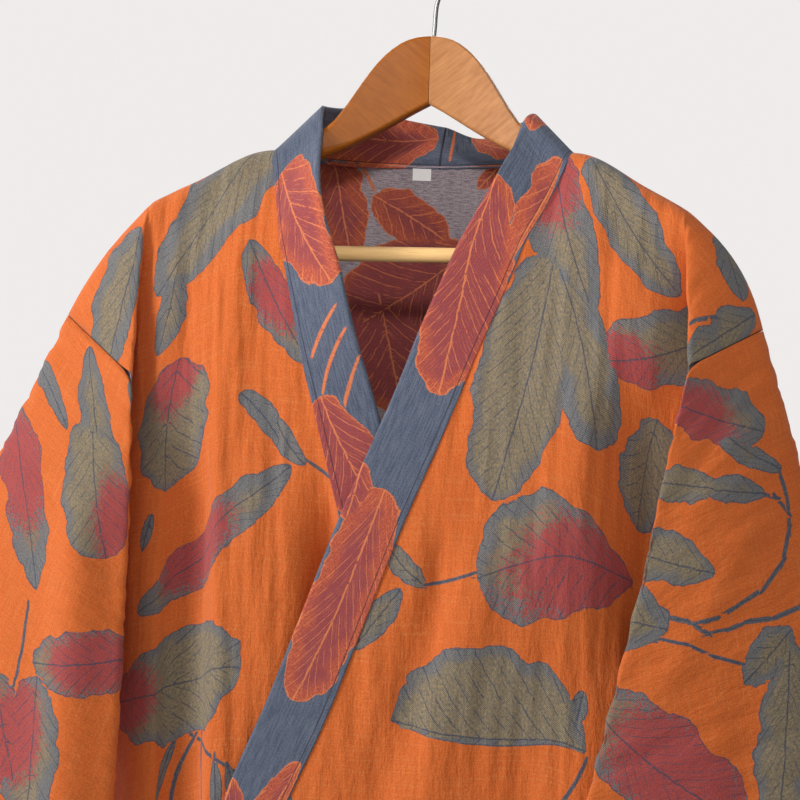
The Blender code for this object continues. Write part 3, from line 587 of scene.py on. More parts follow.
def raw_sleeve(side, a, b, layer):
    """Sleeve cloth before its folds are rounded: a along, b around from the ridge."""
    fold, around = fold_place(a)
    layer = np.where(b < 0, -layer, layer)
    b = np.abs(b)
    layer = np.where(b > around, -layer, layer)
    b = np.where(b > around, 2 * around - b, b)
    top = sleeve_line(side, "ridge", a)
    edge = np.where(layer[..., None] < 0, sleeve_line(side, "front", a), sleeve_line(side, "back", a))
    under = sleeve_line(side, "under", a)
    down, out = over_ridge(np.minimum(b, fold), FOLD_RADIUS)
    k = down / over_ridge(fold, FOLD_RADIUS)[0]
    upper = mix(top, edge, k)
    upper[..., 1] += layer * (out * (1 - k) + 0.010 * np.sin(math.pi * k) * soft(a / 0.12))
    f = np.clip((b - fold) / (around - fold), 0.0, 1.0)
    return np.where((b <= fold)[..., None], upper, mix(edge, under, f))


print("half way round the cuff", HALF_CUFF)

# %% [markdown]
# ## The whole sheet
# Body and sleeves are one function of the place on the cut, so the cloth of a sleeve meets the
# cloth of the body at the armhole without a step.

# %% The whole sheet, before its folds are rounded


def raw_sheet(s, t, layer, over, home):
    """The whole sheet before rounding. home is "body" or "sleeve", for the cloth beyond a seam."""
    layer = np.where(t < 0, -layer, layer)
    t = np.abs(t)
    side, a = np.where(s < 0, -1, 1), np.abs(s)
    if home == "body":
        beyond = (t > ARMHOLE) & (a > HALF_BODY)
        layer = np.where(beyond, -layer, layer)
        a = np.where(beyond, 2 * HALF_BODY - a, a)
    seam = armhole_s(t)
    hip = side * HIP
    free = free_body(np.where(a < HIP, side * a, hip), t, layer, over)
    _, y_h, z_h, r_h = shoulder(side * END_S)
    end = np.stack([side * END_X, y_h, z_h], -1)
    down, out = over_ridge(t, r_h)
    k_under = np.clip(down / over_ridge(ARMHOLE, r_h)[0], 0.0, 1.0)
    k_fold = np.clip(down / over_ridge(FOLD_ON_RING, r_h)[0], 0.0, 1.0)
    under = np.array(UNDERARM) * np.stack([side, np.ones_like(a), np.ones_like(a)], -1)
    first = np.where(layer[..., None] < 0, sleeve_line(side, "front", np.zeros_like(a)),
                     sleeve_line(side, "back", np.zeros_like(a)))
    valley = mix(end, under, k_under)
    valley[..., 1] += layer * out * (1 - k_under)
    valley = np.where((t > ARMHOLE)[..., None], side_line(side, t - ARMHOLE), valley)
    edge = mix(end, first, k_fold)
    edge[..., 1] += layer * out * (1 - k_fold)
    rim = raw_sleeve(side, np.zeros_like(a), np.minimum(t, ARMHOLE), layer)
    s_valley = END_S + (HALF_BODY - END_S) * np.clip(t / ARMHOLE, 0.0, 1.0)
    s_edge = END_S + (armhole_s(FOLD_ON_RING) - END_S) * np.clip(t / FOLD_ON_RING, 0.0, 1.0)
    upper = t < FOLD_ON_RING
    s_edge, edge = np.where(upper, s_edge, seam), np.where(upper[..., None], edge, rim)

    def part(lo, hi):
        return np.clip((a - lo) / np.maximum(hi - lo, 1e-4), 0.0, 1.0)
    p = mix(free, valley, part(HIP, s_valley))
    p = np.where((a > s_valley)[..., None], mix(valley, edge, part(s_valley, s_edge)), p)
    f = part(s_edge, seam)
    cap = mix(edge, rim, f)
    # the shoulder line past the hanger's end swells above the straight line
    swell = 4 * f * (1 - f) * (1 - k_fold) * np.where(side > 0, 0.011, 0.006)
    cap = cap + swell[..., None] * np.stack([side * 0.8, 0 * a, 0.6 + 0 * a], -1)
    p = np.where(((a > s_edge) & upper)[..., None], cap, p)
    sleeve = raw_sleeve(side, np.maximum(a - seam, 0.0), t, layer)
    return np.where((a > seam)[..., None] & (home == "sleeve" or (t <= ARMHOLE)[..., None]), sleeve, p)

# %% [markdown]
# ## Folds
# A fold drawn with guide lines alone has a sharp edge. Averaging over a few millimetres of cloth
# rounds it. The soft folds of the fronts and the back are then added, each a bell across a line.

# %% Rounding and soft folds


def fold_field(folds, s, z):
    """Sum of soft ridges and troughs, each a bell across its own line."""
    total = np.zeros_like(s)
    for row in folds:
        f = dict(zip(FOLD_COLUMNS, row))
        ds, dz = f["s1"] - f["s0"], f["z1"] - f["z0"]
        n = math.hypot(ds, dz)
        along = ((s - f["s0"]) * ds + (z - f["z0"]) * dz) / n
        across = ((s - f["s0"]) * dz - (z - f["z0"]) * ds) / n
        bell = np.exp(-0.5 * (across / f["wide"]) ** 2)
        total += f["high"] * bell * soft(along / 0.12 + 0.3) * soft((n - along) / 0.10 + 0.5)
    return total


def sheet(s, t, layer, over=0.0, home="body"):
    """Point of the cloth at (s, t): the raw sheet averaged over a few millimetres of cloth,
    which rounds every fold, plus the soft folds of the body."""
    s, t = np.broadcast_arrays(np.asarray(s, float), np.asarray(t, float))
    layer = np.broadcast_to(np.asarray(layer, float), s.shape)
    # rounding is tighter at the underarm, where three folds meet
    tight = 0.60 + 0.40 * soft(np.hypot(np.abs(s) - HALF_BODY, t - ARMHOLE) / 0.07)
    across = 0.012 * soft((np.abs(s) - 0.15) / 0.05) * tight
    along = 0.012 * soft((np.abs(s) - 0.216) / 0.03) * tight
    total, weight = np.zeros(s.shape + (3,)), 0.0
    for i in (-1.0, -0.5, 0.0, 0.5, 1.0):
        for j in (-1.0, -0.5, 0.0, 0.5, 1.0):
            w = (1.3 - abs(i)) * (1.3 - abs(j))
            total += w * raw_sheet(s + i * across, t + j * along, layer, over, home)
            weight += w
    p = total / weight
    if home == "body":
        gain = soft((t - 0.02) / 0.10) * soft((0.235 - np.abs(s)) / 0.04)
        own = np.where(layer > 0, fold_field(BACK_FOLDS, s, p[..., 2]),
                       fold_field(FOLDS[1 if over else -1], s if over else -s, p[..., 2]))
        p[..., 1] += layer * gain * own
    return p


print("a point of the left front:", np.round(sheet(0.1, 0.3, -1.0, 1.0), 3))

# %% [markdown]
# ## Seams
# Two sewn pieces must not share the same place, so a little of the cut is left out at each
# seam. The normal at a point is the mean of those of the faces round it.

# %% Seams and normals


def collar_s(side, t):
    """Where the collar seam crosses the row t below the shoulder (own side positive)."""
    z = SHOULDER_Z - t
    edge = -(FRONT_EDGE_OVER if side > 0 else FRONT_EDGE_UNDER)
    x = curve(z, COLLAR_SEAM[side]["z"][::-1], COLLAR_SEAM[side]["x"][::-1])
    return np.where(z < COLLAR_SEAM[side]["z"][-1], edge, x) * HALF_NECK / NECK_X


def normals(grid):
    """Unit normals of an open grid: the mean of the unit normals of the faces round a point."""
    e0, e1 = np.diff(grid, axis=1), np.diff(grid, axis=0)
    total = np.zeros_like(grid)
    for i, j in ((0, 0), (0, 1), (1, 0), (1, 1)):
        # the corner (i, j) of every face, with the two edges that meet there
        rows, cols = slice(i, grid.shape[0] - 1 + i), slice(j, grid.shape[1] - 1 + j)
        n = np.cross(e0[rows], e1[:, cols])
        total[rows, cols] += n / np.maximum(np.linalg.norm(n, axis=-1, keepdims=True), 1e-12)
    return total / np.maximum(np.linalg.norm(total, axis=-1, keepdims=True), 1e-12)


def slit(side, t, layer, over=0.0):
    """Half of the slit at the armhole and side seams, as a length of cloth. Where the cloth
    turns sharply at the seam its points lie closer together, so more cloth is left out."""
    s, e = side * armhole_s(t), side * 0.0015
    at_side_seam = t > ARMHOLE - 0.001
    inner = sheet(s - e, t, layer, over)
    outer = np.where(at_side_seam[..., None], sheet(s - e, t, -layer),
                     sheet(s + e, t, layer, home="sleeve"))
    speed = np.linalg.norm(outer - inner, axis=-1) / 0.003
    corners = (UNDERARM_SLIT * np.exp(-((t - ARMHOLE) / 0.030) ** 2)
               + FOLD_SLIT * np.exp(-((t - FOLD_ON_RING) / 0.012) ** 2))
    return 0.5 * SEAM / np.clip(speed, 0.16, 1.0) + corners


print("underarm slit", UNDERARM_SLIT)

# %% [markdown]
# ## Fine grids
# A grid with rows down the cloth and columns across it is laid on each cut piece. The columns
# gather where the cloth is folded at the armhole, and the rows gather at the shoulder.

# %% Rows and columns
ROWS_TOP = np.concatenate([np.linspace(0.0, 0.022, 8), np.arange(0.026, 0.276, 0.0042), [ARMHOLE]])
ROWS_BELOW = np.concatenate([np.linspace(0.0, 0.34, 66)[1:], np.linspace(0.34, 1.0, 62)[1:]])


def row_t(s, row):
    """t of a row at s: fixed down to the underarm, then shared out down to the hem."""
    if row < len(ROWS_TOP):
        return np.maximum(ROWS_TOP[row], 0.5 * SEAM) + 0 * s
    return ARMHOLE + (body_length(s) - ARMHOLE) * ROWS_BELOW[row - len(ROWS_TOP)]


ROW_COUNT = len(ROWS_TOP) + len(ROWS_BELOW)
DOWNS = np.array([float(row_t(np.array(0.15), row)) for row in range(ROW_COUNT)])


def outer_columns(t, gap):
    """Columns from s = 0.185 to the seam that keep to the edges of the fold at the armhole."""
    seam = float(armhole_s(t)) - gap
    spread = 0.007 * max(0.0, 1 - t / 0.035)
    valley = min(END_S + (HALF_BODY - END_S) * min(t / ARMHOLE, 1.0) - spread, seam - 0.022)
    edge = END_S + (float(armhole_s(FOLD_ON_RING)) - END_S) * min(t / FOLD_ON_RING, 1.0) + spread
    edge = min(edge, seam - 0.3 * (seam - valley))
    return np.concatenate([np.linspace(0.185, valley, 15), np.linspace(valley, edge, 13)[1:],
                           np.linspace(edge, seam, 15)[1:]])


def crinkle(s, t, seed, size):
    """Small uneven waves of the cloth: a sum of sine waves with random directions, longer down
    the cloth than across it."""
    draw = np.random.default_rng(seed)
    total = np.zeros(np.broadcast(s, t).shape)
    for _ in range(26):
        across = 2 * math.pi / draw.uniform(0.009, 0.045) * draw.choice([-1, 1])
        down = 2 * math.pi / draw.uniform(0.070, 0.400)
        total += np.sin(across * s + down * t + draw.uniform(0, 6.3)) * draw.uniform(0.3, 1.0)
    return size * total / 3.0


print(ROW_COUNT, "rows")

# %% [markdown]
# ## Leaves
# The cloth is woven with big loose leaves. Each leaf is a row of a table: where its stalk and its
# tip are on the cut, how wide it is to either side, how its midrib bends, where it is widest, how
# blunt its ends are, and a red patch. On each face of the mesh the nearest leaf gives the shader
# its own coordinates, so the outline and the veins can be drawn as finely as the picture needs.

# %% Leaf coordinates


def leaf_fields(leaf, s, t):
    """Coordinates of a leaf at (s, t). u runs from 0 at the stalk to 1 at the tip along the bent
    midrib, y is the signed distance from it, and w the half width there:
    w = width * sin(pi u^p)^q. depth is the distance inside the outline, negative outside."""
    s0, t0, s1, t1, w1, w2, bend, p, q = leaf[:9]
    red_u, red_v, red_r = leaf[9:] if len(leaf) > 9 else (0.0, 0.0, 0.0)
    ds, dt = s1 - s0, t1 - t0
    long = math.hypot(ds, dt)
    x = ((s - s0) * ds + (t - t0) * dt) / long
    y = ((s - s0) * dt - (t - t0) * ds) / long
    u = x / long
    y = y - bend * 4 * u * (1 - u)
    wide = np.where(y > 0, w1, w2)
    inside = np.clip(u, 1e-4, 1 - 1e-4)
    bell = np.abs(np.sin(math.pi * inside ** p)) ** q
    w = wide * bell * (1 + 0.05 * np.sin(inside * 23 + 40 * wide) * (wide > 0.008))
    past = np.maximum(np.maximum(-u, u - 1), 0.0) * long
    w = np.where(past > 0, 0.0006 - past * 3, w)
    near_tip = np.minimum(inside, 1 - inside) * long
    slope = np.clip(0.35 + near_tip / np.maximum(wide, 0.004), 0.35, 1.0)
    depth = (w - np.abs(y)) * slope
    v = y / max(w1, w2, 1e-3)
    veins = max(3.0, round(long / 0.0125))
    phase = veins * (u - 0.34 * np.abs(v) ** 0.75)
    red = 1.0 - np.hypot(0.6 * (u - red_u) * long, y - red_v) / max(red_r, 1e-4)
    red = np.maximum(red, -1.0)
    return dict(u=u, y=y, w=w, slope=slope, phase=phase, rate=veins / long + 0 * u,
                red=red, depth=depth)


def pattern(leaves, s, t, corners):
    """For every face, the leaf it lies deepest in; then that leaf's fields at its corners."""
    fs, ft = s[corners].mean(1), t[corners].mean(1)
    best, which = np.full(len(fs), -0.03), np.zeros(len(fs), int)
    for k, leaf in enumerate(leaves):
        middle = (0.5 * (leaf[0] + leaf[2]), 0.5 * (leaf[1] + leaf[3]))
        reach = 0.5 * math.hypot(leaf[2] - leaf[0], leaf[3] - leaf[1]) + max(leaf[4], leaf[5]) + 0.03
        near = np.flatnonzero(np.hypot(fs - middle[0], ft - middle[1]) < reach)
        depth = leaf_fields(leaf, fs[near], ft[near])["depth"]
        better = near[depth > best[near]]
        best[better] = depth[depth > best[near]]
        which[better] = k + 1
    shape = np.zeros((len(fs), 4, 4))
    shape[..., 2] = -0.05
    shape[..., 3] = 1.0
    marks = np.zeros((len(fs), 4, 4))
    marks[..., 2] = -1.0
    for k, leaf in enumerate(leaves):
        mine = np.flatnonzero(which == k + 1)
        if not len(mine):
            continue
        f = leaf_fields(leaf, s[corners[mine]], t[corners[mine]])
        shape[mine] = np.stack([f["u"], f["y"], f["w"], f["slope"]], -1)
        marks[mine] = np.stack([f["phase"], f["rate"], f["red"], np.full(f["u"].shape, (k * 0.37) % 1)], -1)
    return shape, marks


print("leaf coordinates ready")

# %% [markdown]
# ## Cloth as a mesh
# A piece of cloth has an outer and an inner skin, joined round the rim, so that it is a closed
# wall. One function makes all seven pieces. It stores the place on the cut and the leaf fields,
# which the pattern reads.

# %% Cloth with two skins


def cloth(name, grid, normal, thick, s, t, leaves, mats, wrap=False, cut=(0.0, 0.0)):
    """Thin closed cloth on a grid: an outer and an inner skin half a thickness either side of the
    mid-surface, joined round the rims. It carries its cut coordinates as UVs and the leaf fields
    on its corners."""
    rows, cols = grid.shape[:2]
    count = rows * cols
    points = np.concatenate([(grid + 0.5 * thick * normal).reshape(-1, 3),
                             (grid - 0.5 * thick * normal).reshape(-1, 3)])
    i, j = np.meshgrid(np.arange(rows - 1), np.arange(cols if wrap else cols - 1), indexing="ij")
    a = (i * cols + j).ravel()
    b = (i * cols + (j + 1) % cols).ravel()
    c = ((i + 1) * cols + (j + 1) % cols).ravel()
    d = ((i + 1) * cols + j).ravel()
    outer = np.stack([a, b, c, d], 1)
    e0, e1 = points[b[0]] - points[a[0]], points[d[0]] - points[a[0]]
    if np.dot(np.cross(e0, e1), normal.reshape(-1, 3)[a[0]]) < 0:
        outer = outer[:, ::-1]
    inner = outer[:, ::-1] + count

    def rim(line, flip):
        quad = np.stack([line[:-1], line[1:], line[1:] + count, line[:-1] + count], 1)
        return quad[:, ::-1] if flip else quad
    forward = outer[0, 0] == a[0]
    top = np.arange(cols + 1) % cols if wrap else np.arange(cols)
    rims = [rim(top, forward), rim((rows - 1) * cols + top, not forward)]
    if not wrap:
        side = np.arange(rows) * cols
        rims += [rim(side, not forward), rim(side + cols - 1, forward)]
    faces = np.concatenate([outer, inner] + rims)
    mesh = bpy.data.meshes.new(name)
    mesh.vertices.add(len(points))
    mesh.vertices.foreach_set("co", points.ravel())
    mesh.loops.add(faces.size)
    mesh.loops.foreach_set("vertex_index", faces.ravel().astype(np.int32))
    mesh.polygons.add(len(faces))
    mesh.polygons.foreach_set("loop_start", np.arange(len(faces), dtype=np.int32) * 4)
    mesh.update(calc_edges=True)
    for mat in mats:
        mesh.materials.append(mat)
    index = np.zeros(len(faces), np.int32)
    index[len(outer):len(outer) * 2] = 1 if len(mats) > 1 else 0
    mesh.polygons.foreach_set("material_index", index)
    mesh.shade_smooth()
    s2, t2 = np.tile(s.ravel(), 2), np.tile(t.ravel(), 2)
    shape, marks = pattern(leaves, s2, t2, faces)
    for label, data in (("leaf_shape", shape), ("leaf_marks", marks)):
        layer = mesh.attributes.new(label, "FLOAT_COLOR", "CORNER")
        layer.data.foreach_set("color", data.astype(np.float32).ravel())
    uv = mesh.uv_layers.new(name="cut")
    uv.data.foreach_set("uv", np.stack([s2[faces] + cut[0], t2[faces] + cut[1]], -1)
                        .astype(np.float32).ravel())
    obj = bpy.data.objects.new(name, mesh)
    bpy.context.scene.collection.objects.link(obj)
    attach(obj, "root")
    print(name, len(faces) * 2, "triangles")
    return obj


def area_of(grid, wrap=False):
    """Area of a grid of points, taking each quad as two triangles."""
    if wrap:
        grid = np.concatenate([grid, grid[:, :1]], 1)
    p, q, r, u = grid[:-1, :-1], grid[:-1, 1:], grid[1:, 1:], grid[1:, :-1]
    return 0.5 * float((np.linalg.norm(np.cross(q - p, r - p), axis=-1)
                        + np.linalg.norm(np.cross(r - p, u - p), axis=-1)).sum())


def cut_area(s, t):
    """Area of the flat cut, from the cut coordinates alone and not from how the cloth hangs."""
    return area_of(np.stack([s, t, 0 * s], -1))


print("cloth builder ready")

# %% [markdown]
# ## The woven cloth
# The cloth is a jacquard double weave: orange on the face with blue-grey and olive leaves, slate
# blue on the reverse with red and orange ones. Close to, no colour is flat: the leaves are a
# speckle of blue, grey and olive threads, with darker veins, and the ground has fine ribs.

# %% Cloth materials


def speckle(one, share, other, low, high, dark, light):
    """Threads of two colours: dark and light mixed by one * share + other * (1 - share), as it
    rises from low to high."""
    return (one * share + other * round(1 - share, 2)).step(low, high).blend(dark, light)


def jacquard(name, side):
    """The cloth's face, its reverse on the collar, or its reverse seen inside the robe, there with a
    ground lightened as painted light: ground, leaves, red patches, outlines and veins, all from the
    fields on the corners."""
    m, shader, start = new_material(name)
    uv = start.node("ShaderNodeUVMap", {"uv_map": "cut"})
    shape = start.node("ShaderNodeAttribute", {"attribute_name": "leaf_shape"})
    shape_alpha = Value(start.tree, shape.socket.node.outputs["Alpha"])
    marks = start.node("ShaderNodeAttribute", {"attribute_name": "leaf_marks"})
    marks_alpha = Value(start.tree, marks.socket.node.outputs["Alpha"])
    _, y, w = separate(shape)
    phase, rate, red_field = separate(marks)
    s, t, _ = separate(uv)
    # noise the size of a thread, and threads that run a long way down or across the cloth
    fleck = uv.noise(900.0, 1.0, 0.6)
    fleck_b = uv.scaled(1.0, 0.7).noise(640.0, 1.0, 0.6)
    warp = uv.scaled(1.0, 0.045).noise(760.0, 1.0, 0.5)
    weft = uv.scaled(0.045, 1.0).noise(620.0, 1.0, 0.5)
    wander = uv.noise(110.0, 2.0, 0.6)
    cloud = uv.noise(34.0, 2.0, 0.5)
    twill = ((s + t) * 4300.0).math("SINE") * 0.5 + 0.5
    broad = w.step(0.003, 0.016)
    shift = ((wander - 0.5) * (broad * 0.0040 + 0.0006) + (cloud - 0.5) * broad * 0.017
             + (fleck - 0.5) * 0.0016)
    depth = (w - abs(y)) * shape_alpha + shift
    leaf = depth.step(-0.0004, 0.0004)
    outline = depth.step(0.0011, 0.0004).both(leaf)
    midrib = abs(y + (wander - 0.5) * 0.0022).step(0.0009, 0.0004)
    split = (phase + (wander - 0.5) * 0.34).math("FRACT")
    side_vein = (abs(split - 0.5) / rate).step(0.00075, 0.0003) * uv.noise(70.0, 1.0).step(0.36, 0.50)
    fine = ((phase * 2.7 + (wander - 0.5) * 1.2).math("FRACT") - 0.5)
    fine_vein = (abs(fine) / rate).step(0.0012, 0.0006) * uv.noise(95.0, 1.0).step(0.47, 0.58) * 0.55
    vein = midrib.either(side_vein).either(fine_vein).both(leaf)
    rim = depth + (cloud - 0.5) * 0.016 + (fleck - 0.5) * 0.010
    red = (red_field * 0.8 + (fleck_b - 0.5) * 1.1 + (wander - 0.5) * 0.6).step(-0.05, 0.20).both(leaf)
    if side == "face":
        ground = speckle(warp, 0.24, fleck, 0.34, 0.66, (0.54, 0.104, 0.018), (0.69, 0.158, 0.030))
        ground = ((weft * 0.6 + fleck_b * 0.4).step(0.50, 0.66) * 0.22).blend(ground, (0.70, 0.30, 0.10))
        ground = (fleck_b.step(0.30, 0.22) * 0.35).blend(ground, (0.36, 0.060, 0.020))
        grey = speckle(fleck, 0.7, twill, 0.36, 0.64, (0.080, 0.090, 0.115), (0.240, 0.225, 0.205))
        olive = speckle(fleck_b, 0.7, twill, 0.34, 0.62, (0.115, 0.110, 0.100), (0.330, 0.248, 0.138))
        leaf_colour = (rim * 80.0 + (marks_alpha - 0.5) * 0.9).step(0.30, 1.1).blend(grey, olive)
        red_colour = speckle(fleck, 0.7, twill, 0.36, 0.62, (0.190, 0.052, 0.068), (0.56, 0.082, 0.060))
        vein_colour, line = (0.058, 0.068, 0.105), 0.85
    else:
        if side == "collar":
            along = uv.scaled(0.08, 1.0).noise(760.0, 1.0, 0.5)
            ground = speckle(along, 0.5, fleck, 0.36, 0.64, (0.062, 0.082, 0.130), (0.125, 0.145, 0.200))
            ground = (fleck_b.step(0.60, 0.72) * 0.35).blend(ground, (0.20, 0.16, 0.17))
        else:
            slub = uv.scaled(0.14, 1.0).noise(1100.0, 1.0, 0.5)
            # inside the robe the reverse's ground is grey-mauve, lightened well above the collar's as
            # painted light for light shining through the cloth
            ground = speckle(slub, 0.6, fleck, 0.34, 0.66, (0.215, 0.175, 0.200), (0.46, 0.40, 0.435))
            ground = ((slub * 0.4 + fleck_b * 0.6).step(0.56, 0.68) * 0.4).blend(ground, (0.34, 0.13, 0.10))
        bright = speckle(fleck_b, 0.7, twill, 0.38, 0.60, (0.30, 0.050, 0.045), (0.60, 0.135, 0.058))
        deep = speckle(fleck, 0.7, twill, 0.42, 0.60, (0.20, 0.048, 0.072), (0.42, 0.075, 0.055))
        leaf_colour = (rim * 80.0 + (marks_alpha - 0.5) * 0.8).step(0.2, 1.0).blend(bright, deep)
        red_colour = fleck.step(0.42, 0.6).blend((0.13, 0.12, 0.085), (0.24, 0.20, 0.12))
        vein_colour, line = (0.74, 0.23, 0.080), 0.80
        if side == "inside":
            dull = (slub * 0.6 + fleck * 0.4).step(0.44, 0.62) * 0.35
            leaf_colour = dull.blend(leaf_colour, (0.10, 0.045, 0.045))
    colour = leaf.blend(ground, leaf_colour)
    colour = red.blend(colour, red_colour)
    colour = (vein.either(outline) * line * uv.noise(300.0, 1.0).step(0.22, 0.44)).blend(colour, vein_colour)
    if side == "collar":
        # the stitching beside the seam, with painted shade in its ditch, and the dark short seam at the
        # centre back
        ditch_shade_and_seam = (abs(t - 0.0012).step(0.0006, 0.0002)).either(s.step(0.0012, 0.0006)) * 0.75
        colour = ditch_shade_and_seam.blend(colour, (0.030, 0.020, 0.030))
    rib = uv.scaled(1.0, 0.10).noise(210.0, 2.0, 0.5)
    wrinkle = uv.scaled(1.0, 0.38).noise(95.0, 3.0, 0.6)
    height = rib * 0.25 + warp * 0.2 + fleck * 0.4 + twill * leaf * 0.2 + wrinkle * 3.4
    bump = start.node("ShaderNodeBump", {}, {"Strength": 0.6, "Distance": 0.0012, "Height": height})
    feed(shader, Base_Color=colour, Roughness=0.84 + (fleck - 0.5) * 0.16, Normal=bump,
         Sheen_Weight=0.12, Sheen_Roughness=0.5, Specular_IOR_Level=0.22)
    return m


face_cloth = jacquard("jacquard_face", "face")
reverse_cloth = jacquard("jacquard_reverse", "collar")
inside_cloth_painted_light = jacquard("jacquard_inside_painted_light", "inside")
print("cloth materials ready")

# %% [markdown]
# ## Where the leaves are
# Each row is one leaf, in metres on the cut, with the columns that the leaf coordinates read. The
# leaves in view are where the photograph has them, and the rest are scattered by a rule.

